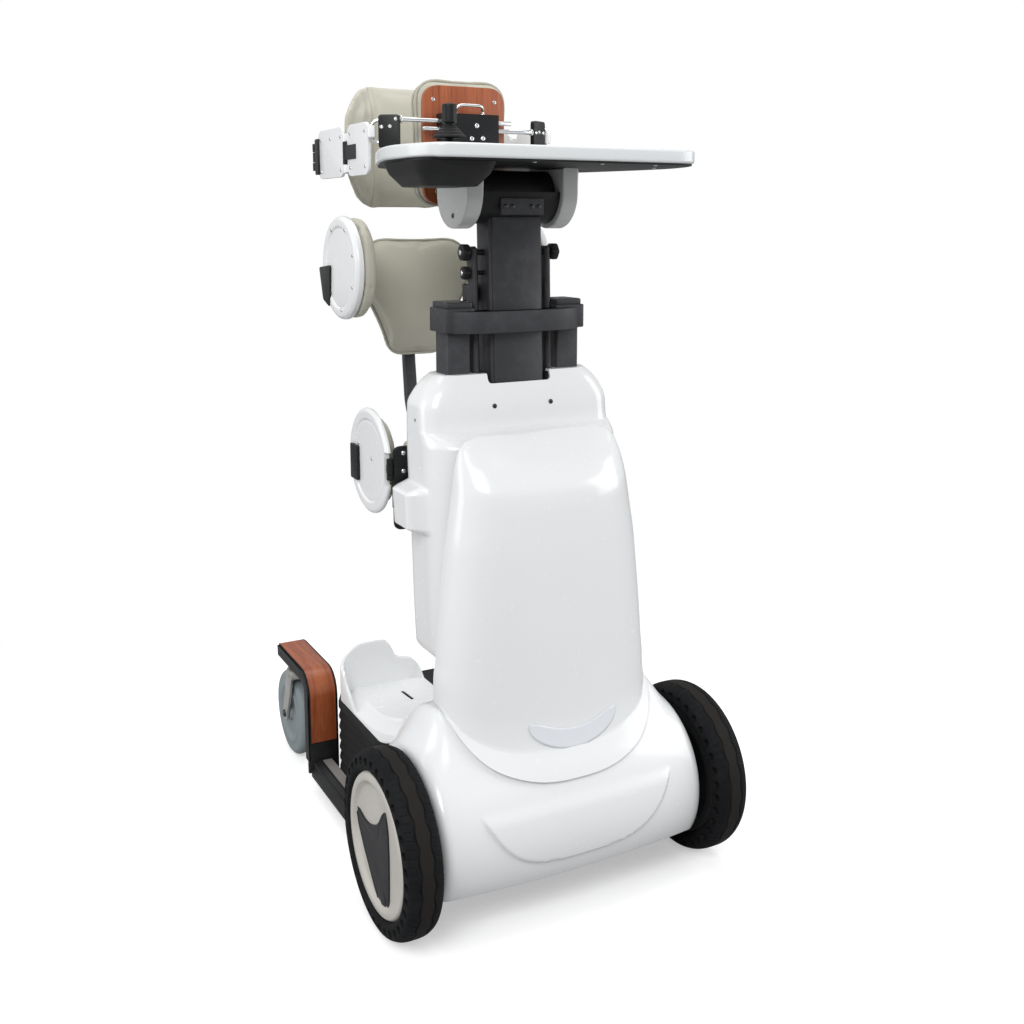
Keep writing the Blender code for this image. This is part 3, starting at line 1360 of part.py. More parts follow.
def knob(base, axis, radius, length):
    """A lobed grip, as an outline with scalloped edges."""
    points = []
    for i in range(18):
        angle = 2 * math.pi * i / 18
        reach = radius * (1.0 - 0.06 * (0.5 - 0.5 * math.cos(6 * angle)))
        points.append((reach * math.cos(angle), reach * math.sin(angle)))
    middle = Vector(base) + Vector(axis) * length / 2
    matrix = Matrix.Translation(middle) @ Vector(axis).to_track_quat("Z", "Y").to_matrix().to_4x4()
    return outline_solid(points, length, matrix)


def build():
    make_base()
    for name, side in SIDES:
        make_drive_wheel(name, side)
        make_castor(name, side)
        make_knee(name, side)
        make_foot_shell(name, side)
    mast, head = make_mast()
    make_clamps(mast)
    make_table(head)
    make_chest(head)
    folds = {name: make_side_arm(name, side, head) for name, side in SIDES}
    make_back(folds["l"])
    make_pelvis()


build()
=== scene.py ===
"""The looks of the powered standing frame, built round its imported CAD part.

Every place is written in the axle frame of the part's drawing: the drive axle lies along X at
Y = 0, the floor is Z = 0, and the front looks towards -Y. SHIFT moves it into the part's frame.
"""

import math

import bmesh
import bpy
import numpy as np
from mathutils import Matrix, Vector


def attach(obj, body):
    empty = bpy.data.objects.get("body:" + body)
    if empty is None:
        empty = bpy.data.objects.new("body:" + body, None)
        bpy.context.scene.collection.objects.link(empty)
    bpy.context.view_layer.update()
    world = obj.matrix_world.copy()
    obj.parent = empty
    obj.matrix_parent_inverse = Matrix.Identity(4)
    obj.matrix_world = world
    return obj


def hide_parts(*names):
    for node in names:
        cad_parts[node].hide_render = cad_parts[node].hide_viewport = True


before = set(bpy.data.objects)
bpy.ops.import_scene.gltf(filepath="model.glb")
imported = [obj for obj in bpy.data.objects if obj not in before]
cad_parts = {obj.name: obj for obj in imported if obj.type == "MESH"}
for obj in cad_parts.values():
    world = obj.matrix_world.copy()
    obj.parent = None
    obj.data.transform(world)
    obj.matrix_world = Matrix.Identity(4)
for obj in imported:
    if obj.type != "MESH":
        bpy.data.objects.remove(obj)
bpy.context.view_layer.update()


SHIFT = np.array((0.0, -0.3135, 0.0))
SIDES = (("l", -1), ("r", 1))

# Drive wheels and castors
AXLE_Z = 0.150
TYRE_MIDDLE_X = 0.289
TYRE_HALF_WIDTH = 0.031
RIM_RADIUS = 0.1163
TYRE_HOLES = 35
SHIELD_TURN = math.radians(21.0)
CASTOR_X = 0.2335
CASTOR_Y = 0.687
CASTOR_RADIUS = 0.090

# What lies in the base: nothing in its front part goes below BELLY_Z
BELLY_Z = 0.0795
SOLE_Z = 0.2155

# Base cover, hood and body
DRUM_Y = 0.030
DRUM_RADIUS = 0.155
HOOD_EDGE_Y = 0.037
HOOD_FRONT_Y = -0.105
HOOD_HALF_WIDTH = 0.196
HOOD_FOOT_Z = 0.228
HOOD_PLAIN_Z = 0.420
HOOD_LIFT = 0.012
BODY_BACK_Y = 0.200

# Mast, head and table
MAST_FRONT_Y = 0.105
MAST_PIVOT_Z = 0.866
MAST_LEAN = math.radians(2.06)
SPINDLE_Y = 0.133
KNOB_X = 0.0765
HEAD = np.array((0.0, 0.148, 1.180))
TABLE_LOW_Z = 1.220
TABLE_TOP_Z = 1.244
JOYSTICK = np.array((-0.180, -0.010, 1.236))

# Supports
ARM_X = 0.175
FRONT_HINGE_Y = 0.322
MIDDLE_HINGE_Y = 0.450
REAR_HINGE_Y = 0.622
HIP_DISC = np.array((0.200, 0.438, 1.047))
KNEE_DISC = np.array((0.200, 0.303, 0.709))

CLOTH_FRAMES = 20


# Shader sheets


class Value:
    """A socket that arithmetic can be written on: each operator adds its Math node."""

    def __init__(self, sheet, socket):
        self.sheet = sheet
        self.socket = socket

    def _math(self, operation, *values):
        return self.sheet.node("ShaderNodeMath", {"operation": operation}, values)

    def __add__(self, other):
        return self._math("ADD", self, other)

    def __sub__(self, other):
        return self._math("SUBTRACT", self, other)

    def __rsub__(self, other):
        return self._math("SUBTRACT", other, self)

    def __mul__(self, other):
        return self._math("MULTIPLY", self, other)

    def __pow__(self, other):
        return self._math("POWER", self, other)

    __radd__ = __add__
    __rmul__ = __mul__

    def absolute(self):
        return self._math("ABSOLUTE", self)

    def sine(self):
        return self._math("SINE", self)

    def between(self, low, high):
        """0 below low, 1 above high, with a soft step from one to the other."""
        return self.sheet.node(
            "ShaderNodeMapRange",
            {"interpolation_type": "SMOOTHSTEP"},
            {"Value": self, "From Min": low, "From Max": high},
        )


class Sheet:
    """The nodes of one material, or of the world."""

    def __init__(self, name, blocks=bpy.data.materials):
        self.block = blocks.new(name)
        self.block.use_nodes = True
        self.tree = self.block.node_tree
        self.tree.nodes.clear()

    def node(self, kind, settings=None, values=(), output=0):
        """Adds a node: its settings first, then the values or links of its sockets."""
        made = self.tree.nodes.new(kind)
        for key, setting in (settings or {}).items():
            if key == "stops":
                ramp = made.color_ramp.elements
                while len(ramp) < len(setting):
                    ramp.new(0.5)
                for stop, (place, colour) in zip(ramp, setting):
                    stop.position = place
                    stop.color = (*colour, 1.0)
            else:
                setattr(made, key, setting)
        named = values.items() if isinstance(values, dict) else enumerate(values)
        for key, value in named:
            if isinstance(value, Value):
                self.tree.links.new(value.socket, made.inputs[key])
            elif value is not None:
                made.inputs[key].default_value = value
        return Value(self, made.outputs[output]) if made.outputs else None

    def place(self, scale=(1.0, 1.0, 1.0)):
        """Object coordinates in metres, stretched for a pattern."""
        here = self.node("ShaderNodeTexCoord", output="Object")
        return self.node("ShaderNodeMapping", None, {"Vector": here, "Scale": scale})

    def axis(self, place, letter):
        return self.node("ShaderNodeSeparateXYZ", None, (place,), letter)

    def noise(self, scale, detail=3.0, roughness=0.5, place=None, distortion=0.0):
        return self.node("ShaderNodeTexNoise", None, {
            "Vector": place or self.place(), "Scale": scale, "Detail": detail,
            "Roughness": roughness, "Distortion": distortion,
        })

    def cells(self, scale, feature="F1"):
        """Distance to the nearest cell point, or to the cell's edge."""
        sockets = {"Vector": self.place(), "Scale": scale}
        return self.node("ShaderNodeTexVoronoi", {"feature": feature}, sockets)

    def blend(self, share, low, high):
        """A colour between two, by a share from 0 to 1."""
        sockets = {0: share, 6: colour4(low), 7: colour4(high)}
        return self.node("ShaderNodeMix", {"data_type": "RGBA"}, sockets, 2)

    def bump(self, height, depth, strength, under=None):
        return self.node("ShaderNodeBump", None, {
            "Strength": strength, "Distance": depth, "Height": height, "Normal": under,
        })

    def surface(self, **sockets):
        """The Principled shader and the output. Returns the material."""
        values = {name.replace("_", " "): value for name, value in sockets.items()}
        if not isinstance(values.get("Base Color"), Value):
            values["Base Color"] = colour4(values["Base Color"])
        shader = self.node("ShaderNodeBsdfPrincipled", None, values)
        self.node("ShaderNodeOutputMaterial", None, {"Surface": shader})
        return self.block


def colour4(value):
    return value if isinstance(value, Value) else (*value, 1.0)


def scaled(colour, factor, lift=0.0):
    """A colour made lighter or darker."""
    return [value * factor + lift for value in colour]


def gloss_cover(name, colour=(0.80, 0.81, 0.815)):
    """Painted gloss plastic: a clear coat, a faint orange peel and a little dust."""
    sheet = Sheet(name)
    dust = sheet.noise(90.0, 5.0, 0.65)
    cloud = sheet.noise(3.0, 2.0)
    shade = sheet.blend(cloud.between(0.30, 0.72), scaled(colour, 0.985), colour)
    peel = sheet.bump(sheet.noise(260.0, 2.0), 0.00008, 0.25)
    return sheet.surface(
        Base_Color=shade, Roughness=0.20 + 0.10 * dust.between(0.45, 0.75), Normal=peel,
        Coat_Weight=0.35, Coat_Roughness=0.06, IOR=1.46,
    )


def powder_coat(name, colour, grain=0.00022, rough=0.46, shine=0.0):
    """Powder-coated metal: a fine pebbled skin, paler in noise patches that are partly dust and
    partly painted sheen.
    """
    sheet = Sheet(name)
    pebble = sheet.noise(620.0, 3.0, 0.6)
    dust_and_sheen = sheet.noise(22.0, 6.0, 0.7)
    # Paler patches: partly dust, partly a painted sheen where light would catch.
    tint = sheet.blend(dust_and_sheen.between(0.42, 0.78), colour, scaled(colour, 1.35, 0.006))
    return sheet.surface(
        Base_Color=tint, Roughness=rough + 0.14 * pebble - 0.05 * dust_and_sheen.between(0.4, 0.7),
        Metallic=shine, Normal=sheet.bump(pebble, grain, 0.55), Specular_IOR_Level=0.32,
    )


def moulded(name, colour, rough=0.5, grain=0.00012, shine=0.5):
    """Moulded plastic with a spark-eroded grain."""
    sheet = Sheet(name)
    grains = sheet.cells(900.0)
    cloud = sheet.noise(14.0, 4.0, 0.6)
    tint = sheet.blend(cloud.between(0.35, 0.75), colour, scaled(colour, 1.16, 0.003))
    return sheet.surface(
        Base_Color=tint, Roughness=rough + 0.10 * grains, Normal=sheet.bump(grains, grain, 0.5),
        Specular_IOR_Level=shine,
    )


def hub_plastic(name):
    """The pale hub, black on the side that faces the machine."""
    sheet = Sheet(name)
    across = sheet.axis(sheet.place(), "X").absolute()
    cloud = sheet.noise(14.0, 4.0, 0.6)
    pale = sheet.blend(cloud.between(0.35, 0.75), (0.490, 0.468, 0.430), (0.540, 0.518, 0.480))
    tint = sheet.blend(across.between(0.2960, 0.2980), (0.010, 0.010, 0.011), pale)
    return sheet.surface(
        Base_Color=tint, Roughness=0.36 + 0.10 * cloud, Normal=sheet.bump(cloud, 0.00006, 0.4),
        Specular_IOR_Level=0.35,
    )


def leatherette(name, colour=(0.520, 0.505, 0.418)):
    """Coated upholstery fabric: pebbled grain in two sizes, creases, and colour darker in the
    crevices between the pebbles.
    """
    sheet = Sheet(name)
    pebbles = sheet.cells(620.0, "DISTANCE_TO_EDGE")
    fine = sheet.noise(1500.0, 2.0)
    crease = sheet.noise(34.0, 4.0, 0.62, distortion=0.8)
    cloud = sheet.noise(7.0, 3.0)
    tint = sheet.blend(cloud.between(0.3, 0.75), scaled(colour, 0.90), colour)
    tint = sheet.blend((1.0 - pebbles.between(0.0, 0.12)) * 0.30, tint, scaled(colour, 0.62))
    grain = sheet.bump(pebbles.between(0.0, 0.22) + 0.25 * fine, 0.00022, 0.55)
    soft = sheet.bump(crease, 0.0018, 0.30, grain)
    return sheet.surface(
        Base_Color=tint, Roughness=0.50 + 0.14 * fine, Normal=soft, Sheen_Weight=0.10,
        Sheen_Roughness=0.5,
    )


def laminate(name, stretch=(1.0, 1.0, 0.045)):
    """Cherry-coloured laminate: wandering grain lines with darker pores, drawn out along the
    axes whose stretch is small."""
    sheet = Sheet(name)
    drawn = sheet.place(stretch)
    figure = sheet.noise(46.0, 5.0, 0.62, drawn, 1.2)
    lines = sheet.noise(210.0, 4.0, 0.7, drawn)
    pores = sheet.noise(640.0, 2.0, 0.6, drawn)
    tint = sheet.node(
        "ShaderNodeValToRGB",
        {"stops": (
            (0.28, (0.150, 0.030, 0.009)), (0.44, (0.260, 0.058, 0.017)),
            (0.58, (0.355, 0.092, 0.028)), (0.76, (0.450, 0.140, 0.048)),
        )},
        (0.62 * figure + 0.38 * lines,),
    )
    tint = sheet.blend(pores.between(0.60, 0.72) * 0.55, tint, (0.098, 0.021, 0.007))
    return sheet.surface(
        Base_Color=tint, Roughness=0.34 + 0.16 * pores, Normal=sheet.bump(lines, 0.00010, 0.4),
        Coat_Weight=0.22, Coat_Roughness=0.15,
    )


def bright_metal(name, colour=(0.78, 0.79, 0.80), rough=0.10):
    """Chromed or polished steel with fine wiping marks."""
    sheet = Sheet(name)
    marks = sheet.noise(320.0, 3.0, 0.6, sheet.place((1.0, 1.0, 0.12)))
    haze = sheet.noise(26.0, 3.0)
    return sheet.surface(
        Base_Color=sheet.blend(haze, scaled(colour, 0.93), colour),
        Metallic=1.0, Roughness=rough + 0.10 * marks.between(0.45, 0.8) + 0.05 * haze,
        Normal=sheet.bump(marks, 0.00003, 0.3),
    )


def tyre_rubber(name):
    """Tyre rubber. The band between the two wavy grooves is browner and dustier."""
    sheet = Sheet(name)
    here = sheet.place()
    across = (sheet.axis(here, "X").absolute() - TYRE_MIDDLE_X).absolute()
    radius_y = sheet.axis(here, "Y") - float(SHIFT[1])
    radius_z = sheet.axis(here, "Z") - AXLE_Z
    radius = (radius_y * radius_y + radius_z * radius_z) ** 0.5
    tread = (1.0 - across.between(0.0095, 0.0120)) * radius.between(0.1440, 0.1465)
    speck = sheet.noise(420.0, 5.0, 0.7)
    dust = sheet.noise(30.0, 5.0, 0.65)
    tint = sheet.blend(dust.between(0.4, 0.8), (0.0050, 0.0054, 0.0062), (0.0100, 0.0105, 0.0115))
    tint = sheet.blend(tread * (0.65 + 0.35 * dust), tint, (0.0170, 0.0150, 0.0130))
    return sheet.surface(
        Base_Color=tint, Roughness=0.62 + 0.20 * speck, Normal=sheet.bump(speck, 0.00020, 0.6),
        Specular_IOR_Level=0.16,
    )


def webbing(name, colour):
    """Woven belt: ribs across it and a finer weave, laid on the belt's own UV map."""
    sheet = Sheet(name)
    uv = sheet.node("ShaderNodeUVMap", {"uv_map": "belt"})
    run = sheet.axis(uv, "X")
    width = sheet.axis(uv, "Y")
    ribs = (run * (2 * math.pi / 0.0016)).sine() * 0.5 + 0.5
    threads = (width * (2 * math.pi / 0.0011)).sine() * 0.5 + 0.5
    fuzz = sheet.noise(900.0, 3.0, 0.6)
    weave = 0.6 * ribs + 0.4 * ribs * threads
    tint = sheet.blend(0.6 * weave + 0.4 * fuzz, scaled(colour, 0.55), colour)
    return sheet.surface(
        Base_Color=tint, Roughness=0.62 + 0.25 * fuzz, Normal=sheet.bump(weave, 0.00025, 0.8),
    )


FINISH = {
    "white": gloss_cover("white_gloss_cover"),
    "table_white": gloss_cover("table_white", (0.70, 0.72, 0.725)),
    # The cheeks' grey colour is painted shade: it stands for the shade under the table.
    "cheek": gloss_cover("cheek_grey_painted_shade", (0.50, 0.51, 0.505)),
    "white_strip": gloss_cover("white_strip", (0.745, 0.770, 0.805)),
    "black": powder_coat("black_powder_coat", (0.0125, 0.0128, 0.0135)),
    "steel": powder_coat("dark_steel_coat", (0.0430, 0.0440, 0.0480), 0.00030, 0.42, 0.25),
    "plate_black": powder_coat("black_anodised", (0.0080, 0.0082, 0.0090), 0.00008, 0.34, 0.1),
    "black_plastic": moulded("black_plastic", (0.0085, 0.0088, 0.0096), 0.40, shine=0.26),
    "matte_black": moulded("black_step_plastic", (0.0090, 0.0092, 0.0100), 0.62, 0.0003, 0.25),
    "insert": moulded("hub_insert_plastic", (0.0170, 0.0172, 0.0190), 0.42, shine=0.25),
    "hub": hub_plastic("hub_plastic"),
    "rail_grey": moulded("rail_infill_plastic", (0.250, 0.240, 0.225), 0.52, shine=0.3),
    "castor": moulded("castor_tyre", (0.205, 0.238, 0.250), 0.46),
    "fork": moulded("castor_fork_metal", (0.330, 0.325, 0.310), 0.38, 0.00008),
    "soft": leatherette("leatherette"),
    "piping": leatherette("leatherette_piping", (0.455, 0.443, 0.364)),
    "wood": laminate("laminate_board"),
    "wood_arch": laminate("laminate_strip", (1.0, 0.10, 0.10)),
    "chrome": bright_metal("chrome"),
    "zinc": bright_metal("zinc_screws", (0.62, 0.62, 0.61), 0.22),
    "black_screw": bright_metal("blackened_screws", (0.075, 0.075, 0.080), 0.30),
    "tyre": tyre_rubber("tyre_rubber"),
    "belt": webbing("belt_webbing", (0.030, 0.030, 0.033)),
    "bellows": moulded("bellows_rubber", (0.0075, 0.0076, 0.0082), 0.55, 0.0002, 0.25),
}


# Surfaces as whole arrays


def vec(*values):
    return np.array(values, float)


def unit(vectors):
    """Vectors made 1 long."""
    return vectors / np.linalg.norm(vectors, axis=-1, keepdims=True)


def ring_of(first, second, angle):
    """The unit circle through two directions: cos a * first + sin a * second."""
    return np.cos(angle)[..., None] * first + np.sin(angle)[..., None] * second


def step(value):
    """Smooth step: 3t^2 - 2t^3 with t held between 0 and 1."""
    t = np.clip(value, 0.0, 1.0)
    return t * t * (3 - 2 * t)


def flow(table, at):
    """Reads the columns of a table at the places `at`, as a cubic through its rows whose
    slope at a row is the harmonic mean of the slopes beside it, so it never overshoots."""
    table = np.asarray(table, float)
    x, values = table[:, 0], table[:, 1:]
    gaps = np.diff(x)[:, None]
    slopes = np.diff(values, axis=0) / gaps
    before, after = slopes[:-1], slopes[1:]
    product = before * after
    inner = np.where(product > 0, 2 * product / np.where(product > 0, before + after, 1.0), 0.0)
    rates = np.vstack([slopes[:1], inner, slopes[-1:]])
    at = np.clip(np.asarray(at, float), x[0], x[-1])
    i = np.clip(np.searchsorted(x, at, side="right") - 1, 0, len(x) - 2)
    t = ((at - x[i]) / (x[i + 1] - x[i]))[..., None]
    gap = gaps[i]
    return (
        (2 * t**3 - 3 * t**2 + 1) * values[i] + (t**3 - 2 * t**2 + t) * gap * rates[i]
        + (3 * t**2 - 2 * t**3) * values[i + 1] + (t**3 - t**2) * gap * rates[i + 1]
    )


def surface(points, around=False, caps=(False, False)):
    """A grid of points as quads between neighbours. around joins the last column to the
    first, and caps close the first and last row with a flat face."""
    rows, columns = points.shape[:2]
    across = columns if around else columns - 1
    r, c = np.meshgrid(np.arange(rows - 1), np.arange(across), indexing="ij")
    n = (c + 1) % columns
    low, high = r * columns, (r + 1) * columns
    faces = np.stack([low + c, low + n, high + n, high + c], -1).reshape(-1, 4).tolist()
    if caps[0]:
        faces.append(list(range(columns))[::-1])
    if caps[1]:
        faces.append(list(range((rows - 1) * columns, rows * columns)))
    return points.reshape(-1, 3), faces


def closed(rings):
    """A closed form from rings of points, one to a row, with flat ends."""
    return surface(rings, around=True, caps=(True, True))


def full_turn(steps):
    """Angles evenly round a circle."""
    return np.linspace(0, 2 * np.pi, steps, endpoint=False)


def together(*forms):
    """Several forms as one: their points one after another, their faces renumbered."""
    points, faces, count = [], [], 0
    for form_points, form_faces in forms:
        points.append(form_points)
        faces += [[index + count for index in face] for face in form_faces]
        count += len(form_points)
    return np.vstack(points), faces


def moved(form, change):
    """The same faces over points that a function has moved."""
    return change(form[0]), form[1]


def mirrored(form, side):
    """The form for either side: X times -1 or 1."""
    return form[0] * vec(side, 1, 1), form[1]


def both(form):
    """A form left and right."""
    return [mirrored(form, side) for _, side in SIDES]


def basis(axis):
    """Two unit vectors at right angles to an axis and to each other."""
    axis = unit(np.asarray(axis, float))
    helper = vec(0, 0, 1) if abs(axis[2]) < 0.9 else vec(0, 1, 0)
    first = unit(np.cross(helper, axis))
    return first, np.cross(axis, first), axis


def turned(profile, centre, axis, steps=72, wobble=None):
    """A profile of (radius, height) carried once round an axis:
    centre + height * axis + radius * (cos a * first + sin a * second).
    wobble(angle, profile) adds to the radius."""
    first, second, axis = basis(axis)
    profile = np.asarray(profile, float)
    angle = full_turn(steps)
    radius = profile[:, :1] + (wobble(angle[None, :], profile) if wobble else 0.0)
    ring = ring_of(first, second, angle)
    points = np.asarray(centre) + profile[:, None, 1:2] * axis + radius[..., None] * ring[None]
    return surface(points, around=True)


def leaving(corner, other, radius):
    """Where a rounded corner's curve leaves the line to a neighbour, at most near its middle."""
    gap = other - corner
    length = np.linalg.norm(gap, axis=1, keepdims=True)
    return corner + gap / length * np.minimum(radius, length * 0.48)


def bends(before, corner, after, radius, steps):
    """Parabolas in place of corners, touching the lines to the points before and after."""
    start, end = leaving(corner, before, radius)[:, None], leaving(corner, after, radius)[:, None]
    t = np.linspace(0, 1, steps + 1)[None, :, None]
    curve = (1 - t) ** 2 * start + 2 * t * (1 - t) * corner[:, None] + t**2 * end
    return curve.reshape(-1, corner.shape[1])


def curved(points, radius=0.004, steps=5):
    """A closed polygon with every corner rounded."""
    points = np.asarray(points, float)
    return bends(np.roll(points, 1, 0), points, np.roll(points, -1, 0), radius, steps)


def bent_path(points, radius=0.006, steps=6):
    """An open path with its inner corners rounded."""
    points = np.asarray(points, float)
    inner = bends(points[:-2], points[1:-1], points[2:], radius, steps)
    return np.vstack([points[:1], inner, points[-1:]])


def evenly(path, count, closed=False):
    """Points at even distances along a path, or round a closed outline."""
    if closed:
        path = np.vstack([path, path[:1]])
    length = np.concatenate([[0], np.cumsum(np.linalg.norm(np.diff(path, axis=0), axis=1))])
    even = np.linspace(0, length[-1], count, endpoint=not closed)
    return np.stack([np.interp(even, length, column) for column in path.T], 1)


def reflected(half, column, shared=0):
    """Half an outline, then its mirror image in one column, read backwards. The first and
    last `shared` points lie on the mirror line, so they aren't repeated."""
    half = np.asarray(half, float)
    back = half[::-1][shared:len(half) - shared].copy()
    back[:, column] *= -1
    return np.vstack([half, back])


def inset(outline, distance):
    """An outline moved inwards by a distance along its own normals."""
    tangent = np.roll(outline, -1, 0) - np.roll(outline, 1, 0)
    normal = np.stack([tangent[:, 1], -tangent[:, 0]], 1)
    normal /= np.maximum(np.linalg.norm(normal, axis=1, keepdims=True), 1e-9)
    x, y = outline.T
    area = np.sum(x * np.roll(y, -1) - y * np.roll(x, -1))
    return outline - normal * distance * np.sign(area)


PLANES = {"x": (1, 2, 0), "y": (0, 2, 1), "z": (0, 1, 2)}


def slab(outline, low, high, across="z", edge=0.0008, steps=3):
    """An outline carried from low to high along an axis, with rounded edges: near either end
    the outline shrinks by edge * (1 - sin a) while the height moves by edge * (1 - cos a)."""
    outline = np.asarray(outline, float)
    a = np.linspace(0, np.pi / 2, steps + 1)
    shrink = edge * (1 - np.sin(a))
    rise = edge * (1 - np.cos(a))
    heights = np.concatenate([low + rise, (high - rise)[::-1]])
    shrinks = np.concatenate([shrink, shrink[::-1]])
    rows = np.stack([inset(outline, amount) for amount in shrinks])
    points = np.empty(rows.shape[:2] + (3,))
    first, second, third = PLANES[across]
    points[..., first] = rows[..., 0]
    points[..., second] = rows[..., 1]
    points[..., third] = heights[:, None]
    return closed(points)


def rectangle(low, high, radius=0.003, steps=5):
    (left, bottom), (right, top) = low, high
    return curved([(left, bottom), (right, bottom), (right, top), (left, top)], radius, steps)


def block(low, high, edge=0.0012, across="z", radius=None):
    """A box with rounded edges, as a slab along one axis."""
    first, second, third = PLANES[across]
    radius = edge * 1.6 if radius is None else radius
    outline = rectangle((low[first], low[second]), (high[first], high[second]), radius)
    return slab(outline, low[third], high[third], across, edge)


def side_block(side, near, far, y, z, edge=0.0012, across="z", radius=None):
    """A box given by its distances from the middle plane, for either side."""
    return mirrored(block((near, y[0], z[0]), (far, y[1], z[1]), edge, across, radius), side)


def rod(path, radius, sides=16, up=(0.0, 0.0, 1.0), round_ends=True):
    """A round rod along a path: circles at right angles to the path's tangents, with their
    first direction the part of `up` that is square to the tangent."""
    path = np.asarray(path, float)
    tangent = unit(np.gradient(path, axis=0))
    first = unit(np.cross(np.asarray(up, float), tangent))
    second = np.cross(tangent, first)
    radii = np.full(len(path), radius)
    centre = path
    if round_ends:
        a = np.linspace(0, np.pi / 2, 4)
        head = path[:1] - tangent[:1] * radius * 0.5 * np.cos(a)[:, None]
        tail = path[-1:] + tangent[-1:] * radius * 0.5 * np.sin(a)[:, None]
        centre = np.vstack([head, path, tail])
        radii = np.concatenate([radius * np.sin(a), radii, radius * np.cos(a)])
        first, second = (
            np.pad(rows, ((len(a), len(a)), (0, 0)), mode="edge") for rows in (first, second)
        )
    radii = np.maximum(radii, 1e-5)
    angle = full_turn(sides)
    ring = ring_of(first[:, None], second[:, None], angle)
    return closed(centre[:, None] + radii[:, None, None] * ring)


def ribbon(path, width_direction, width, thickness):
    """A flat strap along a path: a thin rounded rectangle at right angles to it."""
    wide = np.broadcast_to(np.asarray(width_direction, float), path.shape)
    thick = unit(np.cross(unit(np.gradient(path, axis=0)), wide))
    half = vec(width, thickness) / 2
    section = rectangle(-half, half, thickness * 0.45, 3)[None]
    points = path[:, None] + section[..., :1] * wide[:, None] + section[..., 1:] * thick[:, None]
    return closed(points)


def screws(spots, radius=0.0040, height=0.0016, sunk=0.0004):
    """Button-head screws. Each is one grid of rings: up the dome as radius * cos a and
    height * sin a, then down a six-sided socket. spots are (x, y, z, nx, ny, nz)."""
    forms = []
    angle = full_turn(24)
    a = np.linspace(0, np.pi / 2 * 0.78, 5)
    hexagon = np.cos(np.pi / 6) / np.cos((angle % (np.pi / 3)) - np.pi / 6)
    for spot in spots:
        first, second, axis = basis(spot[3:])
        ring = ring_of(first, second, angle)
        reach = [radius + 0 * angle] + [radius * np.cos(value) + 0 * angle for value in a]
        level = [-sunk] + [height * math.sin(value) for value in a]
        reach += [radius * 0.50 * hexagon, radius * 0.48 * hexagon, 0.0 * angle + 1e-5]
        level += [height * 0.97, height * 0.30, height * 0.25]
        rows = [spot[:3] + up * axis + out[:, None] * ring for out, up in zip(reach, level)]
        forms.append(closed(np.stack(rows)))
    return together(*forms)


def leaned(points):
    """Points turned with the mast by its lean about its pivot."""
    c, s = math.cos(MAST_LEAN), math.sin(MAST_LEAN)
    y, z = points[:, 1] - MAST_FRONT_Y, points[:, 2] - MAST_PIVOT_Z
    return np.stack([points[:, 0], MAST_FRONT_Y + y * c + z * s, MAST_PIVOT_Z + z * c - y * s], 1)


# Pieces


def shaded(mesh, angle):
    """Merges doubled points, turns every face outwards and shades by angle."""
    bm = bmesh.new()
    bm.from_mesh(mesh)
    bmesh.ops.remove_doubles(bm, verts=bm.verts[:], dist=0.00001)
    bmesh.ops.dissolve_degenerate(bm, dist=0.000005, edges=bm.edges[:])
    bmesh.ops.recalc_face_normals(bm, faces=bm.faces[:])
    bm.to_mesh(mesh)
    bm.free()
    mesh.shade_smooth()
    mesh.set_sharp_from_angle(angle=math.radians(angle))


def loose(name, form, angle=38.0):
    """A form as an object in the part's own frame."""
    mesh = bpy.data.meshes.new(name)
    mesh.from_pydata((form[0] + SHIFT).tolist(), [], form[1])
    shaded(mesh, angle)
    obj = bpy.data.objects.new(name, mesh)
    bpy.context.scene.collection.objects.link(obj)
    return obj


def piece(name, form, finish, body, stands_for=(), angle=38.0):
    """A finished piece: its mesh, its material, the body it rides on, its material slot."""
    return settle(loose(name, form, angle), finish, body, stands_for)


def stand_in(node, ending, form, finish, body, angle=38.0):
    """The piece that takes a CAD solid's place and bears its name."""
    return piece(f"{node}_{ending}", form, finish, body, (node,), angle)


def settle(obj, finish, body, stands_for=()):
    if obj.name not in bpy.context.scene.collection.objects:
        bpy.context.scene.collection.objects.link(obj)
    obj.data.materials.clear()
    obj.data.materials.append(FINISH[finish])
    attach(obj, body)
    if stands_for:
        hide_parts(*stands_for)
    return obj


def coordinates(mesh):
    points = np.empty(len(mesh.vertices) * 3)
    mesh.vertices.foreach_get("co", points)
    return points.reshape(-1, 3)


def bake(obj):
    """Applies the object's modifiers to its mesh."""
    bpy.context.view_layer.update()
    graph = bpy.context.evaluated_depsgraph_get()
    mesh = bpy.data.meshes.new_from_object(obj.evaluated_get(graph))
    obj.modifiers.clear()
    obj.data = mesh
    return obj


def carved(obj, *forms, angle=38.0):
    """Cuts closed forms out of a piece, one after another."""
    for form in forms:
        cutter = loose("cutter", form)
        boolean = obj.modifiers.new("carve", "BOOLEAN")
        boolean.operation = "DIFFERENCE"
        boolean.solver = "EXACT"
        boolean.object = cutter
        bake(obj)
        bpy.data.objects.remove(cutter)
    obj.data.shade_smooth()
    obj.data.set_sharp_from_angle(angle=math.radians(angle))
    return obj


def walled(obj, thickness):
    """Grows a wall inwards from a skin, whose faces are first turned away from its middle."""
    count = len(obj.data.polygons)
    centre, normal = np.empty(count * 3), np.empty(count * 3)
    obj.data.polygons.foreach_get("center", centre)
    obj.data.polygons.foreach_get("normal", normal)
    centre, normal = centre.reshape(-1, 3), normal.reshape(-1, 3)
    if np.sum((centre - centre.mean(0)) * normal) < 0:
        obj.data.flip_normals()
    wall = obj.modifiers.new("wall", "SOLIDIFY")
    wall.thickness = thickness
    wall.offset = -1.0
    return bake(obj)


